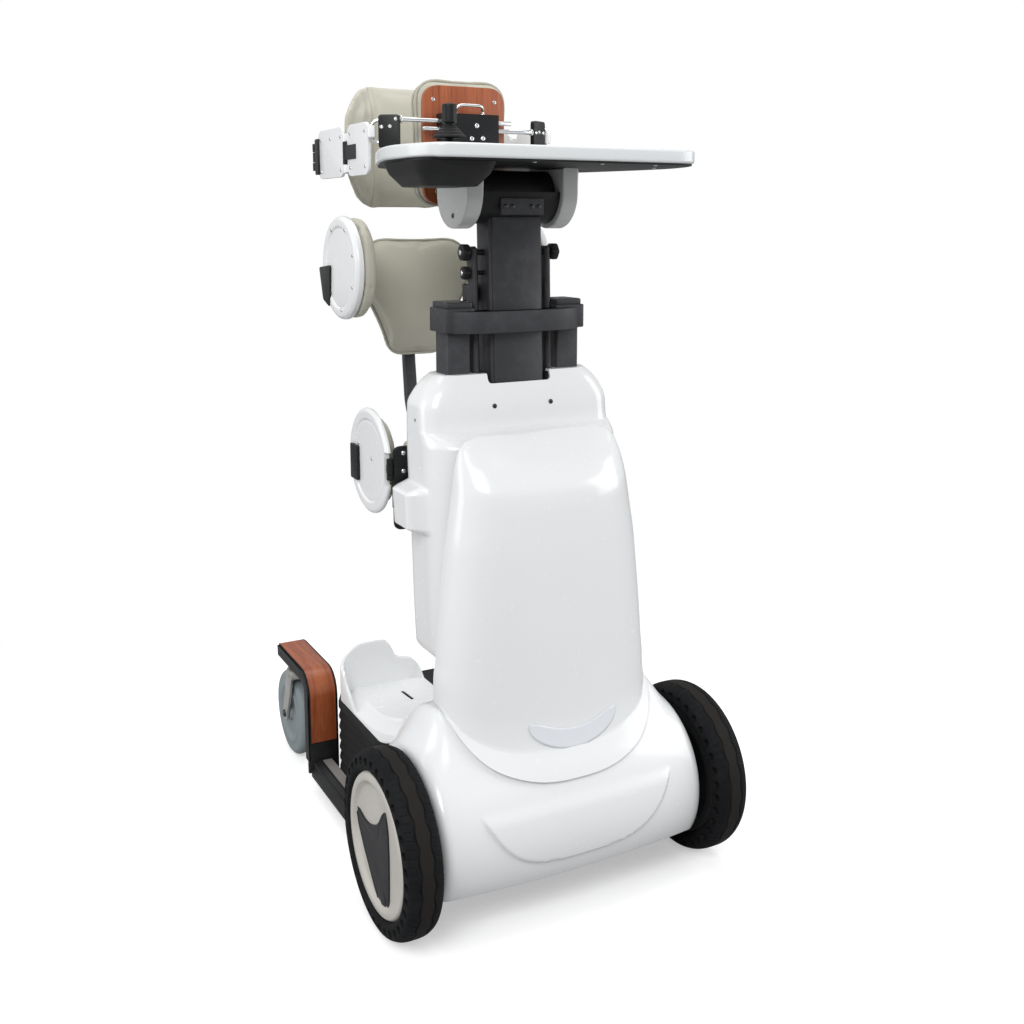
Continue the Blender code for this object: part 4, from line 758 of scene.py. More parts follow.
def dressed(node, finish, body, edge=0.0009, segments=2):
    """A copy of a CAD solid, its points merged and its edges rounded, in its own finish."""
    angle = 34.0
    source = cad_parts[node]
    obj = bpy.data.objects.new(node + "_finished", source.data.copy())
    shaded(obj.data, angle)
    rounding = obj.modifiers.new("edges", "BEVEL")
    rounding.width = edge
    rounding.segments = segments
    rounding.limit_method = "ANGLE"
    rounding.angle_limit = math.radians(angle)
    rounding.harden_normals = True
    return settle(obj, finish, body, (node,))


# Base cover, front hood and upper covers


def drum_radius(x):
    return DRUM_RADIUS - 0.014 * (x / 0.245) ** 2


def collar_rise(x, y):
    """How far the base cover swells up beside and behind the hood."""
    return 0.046 * step((0.243 - np.abs(x)) / 0.050) * step((y + 0.085) / 0.110)


def drum_height(x, y):
    rise = np.sqrt(np.maximum(0.0, drum_radius(x) ** 2 - (y - DRUM_Y) ** 2))
    return AXLE_Z + rise + collar_rise(x, y) * step(rise / 0.08)


def make_base_cover():
    """The drum: y = 0.030 + r cos a and z = 0.150 + r sin a, with r falling from 0.155 in the
    middle by 0.014 (x / 0.245)^2, a bent rim and a flat ring at either end. The front panel
    stands 4.5 mm proud above the curve z = 0.113 + 0.125 (x / 0.19)^4 and fades at z = 0.22."""
    t = np.linspace(0, 1, 9)[:, None]
    bend = (1 - t) ** 2 * vec(-0.2475, 0.1210) + 2 * t * (1 - t) * vec(-0.2475, 0.1405)
    bend = bend + t**2 * vec(-0.2290, 0.1428)
    wall = np.stack([np.full(7, -0.2475), np.linspace(0.076, 0.118, 7)], 1)
    x = np.concatenate([np.linspace(-0.226, -0.1955, 10), np.linspace(-0.1935, 0.1935, 140)])
    x = np.concatenate([x, np.linspace(0.1955, 0.226, 10)])
    middle = np.stack([x, drum_radius(x)], 1)
    left = np.vstack([wall, bend])
    stations = np.vstack([left, middle, left[::-1] * vec(-1, 1)])
    x, r = stations[:, :1], stations[:, 1:]
    drop = np.arcsin(np.minimum(0.95, 0.070 / r))
    angle = -drop + (np.pi + 2 * drop) * np.linspace(0, 1, 170)[None]
    z = AXLE_Z + DRUM_RADIUS * np.sin(angle)
    low = 0.113 + 0.125 * (np.abs(x) / 0.190) ** 4
    inside = np.minimum(0.192 - np.abs(x), (z - low) * 0.7)
    front = step((angle - np.pi / 2) / 0.05)
    proud = 0.0045 * step(inside / 0.0045) * front * (1 - step((z - 0.195) / 0.025))
    reach = r + proud
    y = DRUM_Y + reach * np.cos(angle)
    z = AXLE_Z + reach * np.sin(angle)
    x = np.broadcast_to(x, y.shape)
    z = z + np.where(z > AXLE_Z, collar_rise(x, y) * step((z - AXLE_Z) / 0.08), 0.0)
    obj = walled(loose("base_cover_shell", surface(np.stack([x, y, z], -1))), 0.004)
    posts = both(block((0.0825, 0.110, 0.050), (0.1275, 0.1735, 0.300)))
    carved(obj, block((-0.150, -0.050, 0.250), (0.150, 0.172, 0.400)), *posts, angle=34.0)
    return settle(obj, "white", "base", ("base_cover",))


HOOD_TABLE = (
    (HOOD_FOOT_Z, HOOD_HALF_WIDTH, HOOD_FRONT_Y), (0.240, 0.1962, -0.088), (0.262, 0.1962, -0.075),
    (0.330, 0.1960, -0.064), (0.600, 0.1750, -0.055), (0.660, 0.1660, -0.050),
    (0.700, 0.1600, -0.045), (0.738, 0.1550, -0.022), (0.765, 0.1480, 0.006),
    (0.782, 0.1350, 0.022), (0.790, 0.1150, 0.030),
)


def bow(half, front, angle):
    """The hood seen from above, a superellipse with exponent 2.5 cut at its back edge."""
    c, s = np.cos(angle), np.sin(angle)
    x = half * np.sign(c) * np.abs(c) ** 0.8
    return x, HOOD_EDGE_Y - (HOOD_EDGE_Y - front) * np.abs(s) ** 0.8


def hood_skin(levels, angle):
    """Points of the hood at table levels and at angles round its bow. Below HOOD_PLAIN_Z the
    levels are spread evenly down to a lip HOOD_LIFT above the drum."""
    half, front = flow(HOOD_TABLE, levels)[..., 0], flow(HOOD_TABLE, levels)[..., 1]
    x, y = bow(half, front, angle)
    low = drum_height(*bow(HOOD_HALF_WIDTH, HOOD_FRONT_Y, angle)) + HOOD_LIFT
    share = np.minimum(1.0, (levels - HOOD_FOOT_Z) / (HOOD_PLAIN_Z - HOOD_FOOT_Z))
    z = np.where(levels < HOOD_PLAIN_Z, low + share * (HOOD_PLAIN_Z - low), levels)
    return np.stack([x, y, np.maximum(z, drum_height(x, y) + HOOD_LIFT + 0.0005)], -1)


def make_front_hood():
    """The bowed hood: the table's widths and fronts over the height, flared to a lip below."""
    levels = np.concatenate([
        np.linspace(0.228, 0.262, 14), np.linspace(0.266, 0.70, 50), np.linspace(0.704, 0.790, 34),
    ])
    s = np.linspace(0, 1, 150)
    angle = np.pi * (s - 0.10 * np.sin(2 * np.pi * s) / np.pi)
    skin = hood_skin(levels[:, None], angle[None])
    top = skin[-1:].copy()
    top[..., 1] = HOOD_EDGE_Y
    top[..., 2] += 0.0012
    foot_x, foot_y = bow(HOOD_HALF_WIDTH - 0.006, HOOD_FRONT_Y + 0.010, angle)
    foot = np.stack([foot_x, foot_y, drum_height(foot_x, foot_y) + 0.0006], -1)[None]
    obj = walled(loose("front_hood_shell", surface(np.vstack([foot, skin, top]))), 0.0036)
    obj.data.set_sharp_from_angle(angle=math.radians(42))
    settle(obj, "white", "base", ("front_hood",))


def make_hood_strip():
    """The pale strip: an oval laid on the hood's surface, whose level is found from its height
    the way that hood_skin spreads them."""
    u = np.linspace(-1, 1, 80)[None]
    v = np.linspace(-1, 1, 9)[:, None]
    half = np.sqrt(np.maximum(1e-4, 1 - np.abs(u) ** 6))
    x = 0.012 + 0.084 * u
    z = 0.292 + 0.028 * u**2 + 0.0165 * half * v
    c = np.abs((x + 0 * z) / HOOD_HALF_WIDTH) ** 1.25
    reach = np.sqrt(np.maximum(0.0, 1 - c**2)) ** 0.8
    low = drum_height(x, HOOD_EDGE_Y - (HOOD_EDGE_Y - HOOD_FRONT_Y) * reach) + HOOD_LIFT
    level = HOOD_FOOT_Z + (HOOD_PLAIN_Z - HOOD_FOOT_Z) * (z - low) / (HOOD_PLAIN_Z - low)
    y = HOOD_EDGE_Y - (HOOD_EDGE_Y - flow(HOOD_TABLE, level)[..., 1]) * reach - 0.0006
    strip = surface(np.stack([x + 0 * z, y, z + 0 * x], -1))
    panel = walled(loose("hood_strip_skin", strip), -0.0012)
    settle(panel, "white_strip", "base")


BODY_TABLE = (
    (0.398, 0.1600, 0.0480), (0.410, 0.1680, 0.0405), (0.600, 0.1740, 0.0405),
    (0.765, 0.1800, 0.0405), (0.780, 0.1800, 0.0520), (0.789, 0.1800, 0.0860),
    (0.827, 0.1790, 0.0910), (0.850, 0.1700, 0.0965), (0.868, 0.1580, 0.1030),
    (0.880, 0.1440, 0.1080),
)


def body_outline(half, front, back):
    """A rounded rectangle with many points along its sides. All three may be columns."""
    corner = np.linspace(0, np.pi / 2, 13)
    side = np.linspace(0, 1, 34)[1:-1]
    nose = 0.036 + 0.030 * step((0.086 - front) / 0.040)
    x, y = [], []
    for turn, (sx, sy) in enumerate(((1, -1), (1, 1), (-1, 1), (-1, -1))):
        a = corner + turn * np.pi / 2 - np.pi / 2
        r = nose if sy < 0 else 0.036
        edge = front + r if sy < 0 else back - r
        x.append(sx * (half - r) + r * np.cos(a)[None])
        y.append(edge + r * np.sin(a)[None])
        if turn in (0, 2):
            low, high = (front + nose, back - 0.036)
            if turn == 2:
                low, high = high, low
            x.append(sx * half + 0 * side[None])
            y.append(low + (high - low) * side[None])
        else:
            start = half - r if turn == 1 else -(half - r)
            x.append(start * (1 - 2 * side[None]))
            y.append((back if turn == 1 else front) + 0 * side[None])
    return np.hstack(x), np.hstack(y)


def make_upper_covers():
    """The body above the drum. The knee lobes are a swelling of the skin sideways by
    0.030 s(z) s(y) s(x), where each s is a smooth step across the lobe's edge."""
    z = np.concatenate([
        np.linspace(0.398, 0.410, 5), np.linspace(0.420, 0.600, 18), np.linspace(0.604, 0.708, 50),
        np.linspace(0.715, 0.762, 8), np.linspace(0.765, 0.792, 18), np.linspace(0.796, 0.880, 30),
    ])[:, None]
    table = flow(BODY_TABLE, z[:, 0])
    half, front = table[:, :1], table[:, 1:]
    back = BODY_BACK_Y - 0.35 * np.maximum(0.0, z - 0.84)
    x, y = body_outline(half, front, back)
    z = np.broadcast_to(z, x.shape)
    lobe = step((z - 0.612) / 0.016) * step((0.700 - z) / 0.016)
    lobe = lobe * step((y - 0.092) / 0.026) * step((np.abs(x) - 0.085) / 0.050)
    x = x + np.sign(x) * 0.030 * lobe
    skin = surface(np.stack([x, y, z], -1), around=True, caps=(False, True))
    bars = both(block((0.1762, 0.120, 0.6402), (0.1918, 0.230, 0.6718)))
    notch = [
        moved(block((-0.0600, 0.060, 0.8635), (0.0600, 0.1615, 0.950), 0.006, "z"), leaned),
        moved(block((-0.0560, 0.1020, 0.838), (0.0560, 0.1615, 0.870), 0.002, "z"), leaned),
        moved(block((-0.0785, 0.1200, 0.838), (0.0785, 0.1500, 0.950), 0.004, "z"), leaned),
        *both(block((0.0830, 0.121, 0.840), (0.1270, 0.171, 0.95), 0.003)),
    ]
    for name, node, low, high in (
        ("upper_cover_shell", "upper_cover", 0.1885, 0.300),
        ("rear_cover_shell", "rear_cover", -0.100, 0.1888),
    ):
        obj = walled(loose(name, skin), 0.004)
        away = block((-0.30, low, 0.30), (0.30, high, 0.95), 0.0001)
        carved(obj, away, *bars, *notch, angle=40.0)
        if node == "rear_cover":
            carved(obj, block((-0.023, 0.180, 0.600), (0.023, 0.240, 0.720), 0.002), angle=40.0)
        settle(obj, "white", "base", (node,))
    spots = [(side * 0.054, 0.0906, 0.827, 0, -1, 0.09) for _, side in SIDES]
    spots += [(side * 0.1788, 0.136, 0.806, side, 0, 0) for _, side in SIDES]
    piece("upper_cover_screws", screws(spots, 0.0042, 0.0014), "black_screw", "base")


# Wheels, castors and the floor


def lathe(profile, centre, axis, radius=0.0012, steps=96):
    """A turned solid whose profile corners are rounded."""
    return turned(bent_path(profile, radius, 4), centre, axis, steps)


def make_tyre(name, side):
    """The solid tyre. Its section is cut by pits round each side and by two zigzag grooves,
    h = 0.0112 + 0.0020 tri(24 a), with fine sipes outside them."""
    half, seat = TYRE_HALF_WIDTH, RIM_RADIUS + 0.0004
    pit_ring, pit_radius, pit_depth = 0.1335, 0.0050, 0.0080
    grooves, groove_depth, sipes, sipe_depth = 24, 0.0024, 72, 0.0010
    flank = [
        (seat, half - 0.006), (0.1215, half), (0.1420, half - 0.0015), (0.1478, half - 0.0110),
        (0.1499, half * 0.36),
    ]
    section = evenly(bent_path(reflected(flank, 1), 0.006, 5), 104)
    tangent = unit(np.gradient(section, axis=0))
    normal = np.stack([-tangent[:, 1], tangent[:, 0]], 1)
    angle = full_turn(620)[None]
    share = angle / (2 * np.pi)
    r, h = section[:, :1], section[:, 1:]
    spacing = 2 * np.pi / TYRE_HOLES
    from_pit = np.hypot(r - pit_ring, ((angle % spacing) - spacing / 2) * pit_ring)
    depth = pit_depth * (1 - step((from_pit - pit_radius) / 0.0012)) * (np.abs(h) > 0.020)
    zigzag = 4 * np.abs((share * grooves) % 1 - 0.5) - 1
    groove = np.abs(np.abs(h) - 0.0112 - 0.0020 * zigzag)
    depth = depth + groove_depth * (1 - step((groove - 0.0006) / 0.0008)) * (r > 0.144)
    sipe = np.abs((share * sipes + 18 * np.sign(h) * (np.abs(h) - 0.012)) % 1 - 0.5)
    shoulder = step((np.abs(h) - 0.0135) / 0.001) * (r > 0.1425)
    depth = depth + sipe_depth * (1 - step((sipe - 0.030) / 0.05)) * shoulder
    ring = ring_of(vec(0, 1, 0), vec(0, 0, 1), angle)

    def placed(r, h):
        axle = vec(side * TYRE_MIDDLE_X, 0, AXLE_Z)
        return axle + r[..., None] * ring + h[..., None] * vec(side, 0, 0)

    tread = placed(r - normal[:, :1] * depth, h - normal[:, 1:] * depth)
    seats = placed(r[[-1, 0]], h[[-1, 0]])
    node = "drive_tyre_" + name
    form = surface(np.concatenate([tread, seats]), around=True)
    stand_in(node, "tread", form, "tyre", "drive_wheel_" + name, 50.0)


def make_drive_wheel(name, side):
    """The rim, its flush outer ring, and the shield in its middle, a little turned."""
    make_tyre(name, side)
    body, node = "drive_wheel_" + name, "drive_rim_" + name
    profile = [
        (0.0, 0.0215), (0.0120, 0.0215), (0.0880, 0.0215), (0.0945, 0.0225), (0.0985, 0.0262),
        (0.1010, 0.0292), (0.1050, 0.0300), (0.1120, 0.0292), (0.1145, 0.0268),
        (RIM_RADIUS, 0.0235), (RIM_RADIUS, -0.0235), (0.1000, -0.0255), (0.0950, -0.0100),
        (0.0380, -0.0080), (0.0340, -0.0270), (0.0, -0.0270),
    ]
    rim = lathe(profile, (side * 0.288, 0, AXLE_Z), (side, 0, 0), 0.0016)
    stand_in(node, "finished", rim, "hub", body)
    node = "hub_insert_" + name
    stand_in(node, "finished", mirrored(shield(), side), "insert", body)


def shield():
    """The hub's insert: rings of its outline, drawn in towards its middle, with two facets
    that fall away beside the keel."""
    half = [
        (0.0, 0.0350), (0.020, 0.0365), (0.038, 0.0430), (0.056, 0.0555), (0.0700, 0.0620),
        (0.0740, 0.0560), (0.0735, 0.0300), (0.0600, -0.0120), (0.0380, -0.0660),
        (0.0240, -0.0950), (0.0180, -0.0990), (0.0, -0.1000),
    ]
    outline = curved(reflected(half, 0, 1), 0.009, 6)
    middle, scale, facet_drop = vec(0.0, -0.004), 0.95, 0.0015
    rows = []
    for share, x in (
        (1.0, 0.3090), (1.0, 0.3112), (0.992, 0.3122), (0.972, 0.3126), (0.90, 0.3128),
        (0.70, 0.3122), (0.45, 0.3110), (0.2, 0.3104),
    ):
        y, z = (middle + (outline - middle) * share).T
        facet = step((np.abs(y) - 0.34 * (0.11 + z) - 0.004) / 0.004)
        rows.append(np.stack([x - facet_drop * facet * (share < 0.98), y, z], 1))
    points, faces = closed(np.stack(rows))
    x, y, z = points.T
    c, s = scale * math.cos(SHIELD_TURN), scale * math.sin(SHIELD_TURN)
    return np.stack([x, y * c + z * s + 0.013, AXLE_Z - 0.009 + z * c - y * s], 1), faces


def castor_band(low, outside, thickness, back=0.700):
    """The section of a strip over a castor: up the front, round the corner, back on top."""
    front, top = 0.500 - outside, 0.240 + outside
    radius = 0.046 + outside
    a = np.linspace(np.pi, np.pi / 2, 24)
    corner = vec(front + radius, top - radius)
    ring = np.stack([np.cos(a), np.sin(a)], 1)
    outer = np.vstack([[(front, low)], corner + radius * ring, [(back, top)]])
    inner = corner + (radius - thickness) * ring[::-1]
    return np.vstack([outer, [(back, top - thickness)], inner, [(front + thickness, low)]])


def paired(form, x):
    """A form beside the place x and its mirror image on the other side of it."""
    shift = vec(x, 0, 0)
    return together(*[moved(mirrored(form, half), lambda p: p + shift) for half in (1, -1)])


def make_castor(name, side):
    """The arch with its veneer, then the wheel, the fork and the axle nut."""
    swivel, roll = "castor_swivel_" + name, "castor_roll_" + name
    x = side * CASTOR_X
    node = "castor_veneer_" + name
    veneer = slab(castor_band(0.100, 0.0030, 0.0027), x - 0.0262, x + 0.0262, "x", 0.0005)
    stand_in(node, "sheet", veneer, "wood_arch", "base")
    trim = slab(castor_band(0.0985, 0.0032, 0.0029, 0.7005), 0.0264, 0.0278, "x", 0.0004)
    piece(node + "_edging", paired(trim, x), "black_plastic", "base")
    flange = slab(castor_band(0.060, 0.0, 0.0220), 0.0276, 0.0312, "x", 0.0008)
    piece("castor_flange_" + name, paired(flange, x), "black", "base")
    half = 0.017
    profile = [
        (0.0046, half), (0.0150, half), (0.0175, half - 0.0070), (0.0480, half - 0.0070),
        (0.0560, half - 0.0020), (0.0620, half - 0.0012), (0.0660, half - 0.0030),
        (0.0830, half - 0.0034), (0.0880, half - 0.0075), (CASTOR_RADIUS, half * 0.30),
    ]
    centre, axis = vec(x, CASTOR_Y, CASTOR_RADIUS), (side, 0, 0)
    node = "castor_wheel_" + name
    wheel = lathe(reflected(profile, 1), centre, axis, 0.0020, 120)
    stand_in(node, "finished", wheel, "castor", roll)
    node = "castor_fork_" + name
    dressed(node, "fork", swivel, 0.0010)
    nut = [(0.0, 0.0042), (0.0055, 0.0042), (0.0075, 0.0022), (0.0085, 0.0004), (0.0, 0.0004)]
    nut = lathe(nut, centre + vec(side * 0.0237, 0, 0), axis, 0.0006, 32)
    piece(node + "_nut", nut, "black_screw", swivel)


def make_floor():
    """The base frame and what lies in the base. The front edges of the belly plate and of the
    battery tray are cut off, because nothing shows below the base cover."""
    frame_piece = dressed("base_frame", "black", "base", 0.0009)
    carved(frame_piece, block((-0.30, -0.20, -0.05), (0.30, 0.150, BELLY_Z), 0.0001), angle=34.0)
    front, back = 0.2502, 0.4963
    rim = curved(
        [(0.2618, 0.0302), (0.2618, 0.0420), (0.2440, 0.0640), (0.2400, 0.0640),
         (0.2400, 0.0362), (0.2560, 0.0362), (0.2560, 0.0302)], 0.0022, 4,
    )
    sheet = block((-0.2560, front, 0.0302), (0.2560, back, 0.0361), 0.0010)
    tray = together(sheet, *both(slab(rim, front, back, "y", 0.0010)))
    piece("floor_pan_tray", tray, "black_plastic", "base", ("floor_pan",))
    strips = together(*both(block((0.2186, 0.2515, 0.0560), (0.2398, 0.4955, 0.0612))))
    piece("floor_pan_infill", strips, "rail_grey", "base")
    pack = dressed("power_pack", "black_plastic", "base", 0.0012)
    carved(pack, block((-0.20, -0.20, -0.05), (0.20, -0.020, BELLY_Z), 0.0001), angle=34.0)
    dressed("gear_motors", "steel", "base", 0.0008)


def make_platform():
    """The pleated step. Each of six pleats draws the outline in by 3.6 % * sin(pi t)^0.7."""
    half = [(-0.185, 0.520), (-0.217, 0.455), (-0.217, 0.250), (-0.192, 0.225)]
    outline = curved(reflected(half, 0), 0.013, 7)
    middle = vec(0.0, 0.372)
    low, high, pleats = 0.058, 0.186, 6
    t = np.linspace(0, pleats, pleats * 14 + 1)
    share = 1 - 0.036 * np.sin(np.pi * (t % 1.0)) ** 0.7
    z = low + (high - low) * t / pleats
    z = np.concatenate([z, [0.1945, 0.1975, 0.1990, 0.1998]])
    share = np.concatenate([share, [1.0, 0.994, 0.985, 0.972]])
    flat = middle + (outline - middle)[None] * share[:, None, None]
    height = np.broadcast_to(z[:, None, None], flat.shape[:2] + (1,))
    form = closed(np.concatenate([flat, height], -1))
    node = "foot_platform"
    stand_in(node, "pleats", form, "matte_black", "base", 60.0)


HEEL_TABLE = (
    (0.034, 0.205), (0.036, 0.222), (0.040, 0.234), (0.048, 0.248), (0.056, 0.2555),
    (0.080, 0.262), (0.090, 0.268), (0.098, 0.284), (0.104, 0.295), (0.114, 0.3025),
    (0.130, 0.3040), (0.160, 0.3035), (0.176, 0.2985), (0.188, 0.2900), (0.198, 0.2820),
    (0.205, 0.2750), (0.212, 0.2660),
)


def slot_middle(y):
    """The slot across a sole runs slightly outwards to the back."""
    return 0.1000 + 0.087 * (y - 0.380)


def foot_height(x, y, share):
    """Height of the foot shell. A sole plateau fills ((x - 0.108) / 0.070)^4 +
    ((y - 0.400) / 0.114)^4 < 1 and falls outside it in two facets. The heel cup follows the
    edge of the shell, as high as HEEL_TABLE behind, and comes down along the outer side."""
    s = (np.abs((x - 0.108) / 0.070) ** 4 + np.abs((y - 0.400) / 0.114) ** 4) ** 0.25
    lip = 0.12 * step((s - 0.985) / 0.03) * (1 - step((s - 1.0) / 0.1))
    first = np.maximum(np.clip((s - 1.0) / 0.20, 0, 1) - lip, 0.0)
    second = np.clip((s - 1.20) / 0.22, 0, 1)
    ground = SOLE_Z - 0.0062 * first - 0.0078 * second
    slot = np.maximum(np.abs(x - slot_middle(y)) - 0.0024, np.abs(y - 0.380) - 0.0225)
    cross = np.abs(y - 0.3456 - 0.159 * (x - 0.125))
    cut = 0.0090 * (1 - step((slot + 0.0006) / 0.0012))
    cut = np.maximum(cut, 0.0012 * (1 - step((cross - 0.0005) / 0.0012)) * (s < 0.995))
    behind = step((y - 0.425) / 0.030)
    side = 0.2005 + 0.0650 * np.clip((y - 0.372) / 0.088, 0, 1) ** 0.9 * (x > 0.15)
    crest = flow(HEEL_TABLE, x)[..., 0] * behind + side * (1 - behind)
    band = step((share - 0.900) / 0.040)
    rise = np.maximum(0.0, crest - ground) * band
    return ground - cut * (band < 0.5) + rise


def make_foot_shell(name, side):
    """Rings of one rounded rectangle, from its middle out to its edge, lifted by
    foot_height, then the edge carried down to the sole plate. A dark slot crosses the sole."""
    outline = evenly(rectangle((0.034, 0.228), (0.212, 0.470), 0.024, 12), 430, closed=True)
    middle = vec(0.123, 0.349)
    share = 1 - (1 - np.linspace(0.004, 1, 100)) ** 1.25
    flat = middle + (outline - middle)[None] * share[:, None, None]
    z = foot_height(flat[..., 0], flat[..., 1], share[:, None])
    flat[-1] += (middle - flat[-1]) * 0.006
    flat = np.concatenate([flat, outline[None], outline[None]])
    under = np.full(len(outline), 0.2003)
    z = np.concatenate([z, [np.maximum(z[-1] - 0.0018, 0.2010), under]])
    form = mirrored(closed(np.concatenate([flat, z[..., None]], -1)), side)
    body, node = "foot_" + name, "foot_shell_" + name
    stand_in(node, "moulded", form, "white", body, 48.0)
    low, high, half = 0.3580, 0.4020, 0.0021
    ends = [(low, -half), (low, half), (high, half), (high, -half)]
    ends = [(slot_middle(y) + out, y) for y, out in ends]
    slot = mirrored(slab(curved(ends, 0.0014, 4), 0.2060, SOLE_Z + 0.0003, "z", 0.0003), side)
    piece("foot_slot_" + name, slot, "black_plastic", body)


def make_guide():
    """The two fixed posts, their collars and caps, and the curved yoke between them."""
    forms = []
    for _, side in SIDES:
        forms += [
            side_block(side, 0.084, 0.126, (0.122, 0.170), (0.0568, 0.992), 0.0020),
            side_block(side, 0.0775, 0.134, (0.112, 0.180), (0.950, 0.990), 0.0022, "z", 0.008),
            side_block(side, 0.0800, 0.130, (0.116, 0.176), (0.9885, 1.000), 0.0030, "z", 0.007),
        ]
    outer = reflected([(-0.128, 0.126), (-0.118, 0.108), (-0.094, 0.094), (-0.060, 0.088)], 0)
    inner = outer[::-1] * vec(0.985, 1) + vec(0, 0.007)
    forms.append(slab(curved(np.vstack([outer, inner]), 0.020, 8), 0.949, 0.985, "z", 0.0010))
    node = "guide_frame"
    stand_in(node, "posts", together(*forms), "steel", "base")


# Mast, head and table


def grip(base, axis, radius, length):
    """A lobed knob, its radius less by 11 % * (0.5 - 0.5 cos(6 a)) except near its ends."""
    profile = bent_path([
        (0.0, length), (radius * 0.70, length), (radius, length - 0.0030), (radius, 0.0040),
        (radius * 0.80, 0.0006), (0.0, 0.0006),
    ], 0.0016, 4)

    def wobble(angle, profile):
        full = np.clip(profile[:, :1] / radius, 0, 1) ** 2
        return -0.11 * radius * (0.5 - 0.5 * np.cos(6 * angle)) * full

    return turned(profile, base, axis, 72, wobble)


def make_clamp(body, node, height, sides, inner, thickness, radius, length):
    """A spindle across the mast that ends in a knob on each of its sides."""
    _, y, z = leaned(vec(0.0, SPINDLE_Y, height)[None])[0]
    forms = [grip((side * KNOB_X, y, z), (side, 0, 0), radius, length) for side in sides]
    core = np.linspace(-0.078, inner, 5)[:, None] * vec(1, 0, 0) + vec(0, y, z)
    forms.append(rod(core, thickness, 20))
    stand_in(node, "finished", together(*forms), "black_plastic", body)
    tips = [(side * (KNOB_X + length), y, z, side, 0, 0) for side in sides]
    piece(node + "_bolt", screws(tips, 0.0048, 0.0020), "zinc", body)


def make_mast():
    dressed("lift_column", "steel", "mast", 0.0016, 3)
    dressed("column_plate", "steel", "mast", 0.0008)
    dressed("side_bars", "steel", "mast", 0.0012)
    make_clamp("clamp", "clamp_spindle", 1.082, (-1, 1), 0.078, 0.0048, 0.0150, 0.016)
    make_clamp("side_screw", "side_knob", 1.048, (-1,), -0.033, 0.0038, 0.012, 0.014)
    end = [(0.0, 0.0735), (0.0300, 0.0735), (0.0360, 0.0715)]
    drum = lathe(reflected(end, 1), HEAD, (1, 0, 0), 0.0016, 72)
    bowl = slab(half_circle(0.052, 40), -0.0732, 0.0732, "x", 0.0012)
    node = "head_block"
    stand_in(node, "finished", together(drum, bowl), "black_plastic", "mast")
    front = 0.0935
    plate = block((-0.040, front, 1.1425), (0.040, 0.1000, 1.1700), 0.0010)
    piece(node + "_plate", plate, "steel", "mast")
    spots = [(x, front, 1.1560, 0, -1, 0) for x in (-0.032, -0.019, 0.017, 0.030)]
    piece(node + "_screws", screws(spots, 0.0042, 0.0016), "black_screw", "mast")


def half_circle(radius, steps):
    """The lower half of a circle round the head's axis."""
    a = np.linspace(np.pi, 2 * np.pi, steps)
    return HEAD[1:] + radius * np.stack([np.cos(a), np.sin(a)], 1)


def table_outline():
    """The table's edge: nearly straight in front, widest at a third of its depth, narrower
    towards the user, smoothed by parabolas at each corner."""
    half = [
        (0.0, -0.080), (0.195, -0.080), (0.222, -0.075), (0.238, -0.053), (0.253, -0.012),
        (0.2600, 0.038), (0.248, 0.105), (0.230, 0.160), (0.211, 0.215), (0.196, 0.250),
        (0.178, 0.2665), (0.150, 0.270), (0.0, 0.270),
    ]
    return curved(reflected(half, 0, 1), 0.028, 8)


def joystick_well(radius, low, high):
    """A round hole for the joystick, from one height above the pivot to another."""
    profile = [(0.0, high), (radius, high), (radius, low), (0.0, low)]
    return lathe(profile, JOYSTICK, (0, 0, 1), 0.0002, 64)


def make_table():
    """The board with its dark underside, the two round cheeks below it, and the screws."""
    outline = table_outline()
    low, top = TABLE_LOW_Z, TABLE_TOP_Z
    well = joystick_well(0.0303, -0.056, 0.044)
    board = loose("table_slab", slab(outline, low + 0.0030, top, "z", 0.0042, 6))
    carved(board, well, angle=34.0)
    settle(board, "table_white", "table", ("table_top",))
    belly = loose("table_underside", slab(inset(outline, 0.004), low, low + 0.0029, "z", 0.0010))
    carved(belly, well)
    settle(belly, "black_plastic", "table")
    radius, inner, outer = 0.060, 0.074, 0.104
    ring = half_circle(radius, 48)
    top_corners = [(HEAD[1] - radius, low - 0.0002), (HEAD[1] + radius, low - 0.0002)]
    cheek = np.vstack([top_corners[:1], ring, top_corners[1:]])
    cheeks = together(*both(slab(cheek, inner, outer, "x", 0.0030, 5)))
    # The cheeks' grey finish is painted shade.
    piece("table_cheeks", cheeks, "cheek", "table")
    spots = [(side * outer, 0.1430, 1.1410, side, 0, 0) for _, side in SIDES]
    spots = screws(spots, 0.0046, 0.0018)
    piece("table_cheek_screws", spots, "black_screw", "table")
    spots = [(-0.060, -0.055), (0.060, -0.055), (0.16, -0.055), (0.21, 0.02)]
    spots = screws([(x, y, low, 0, 0, -1) for x, y in spots], 0.0036, 0.0014)
    piece("table_under_screws", spots, "zinc", "table")


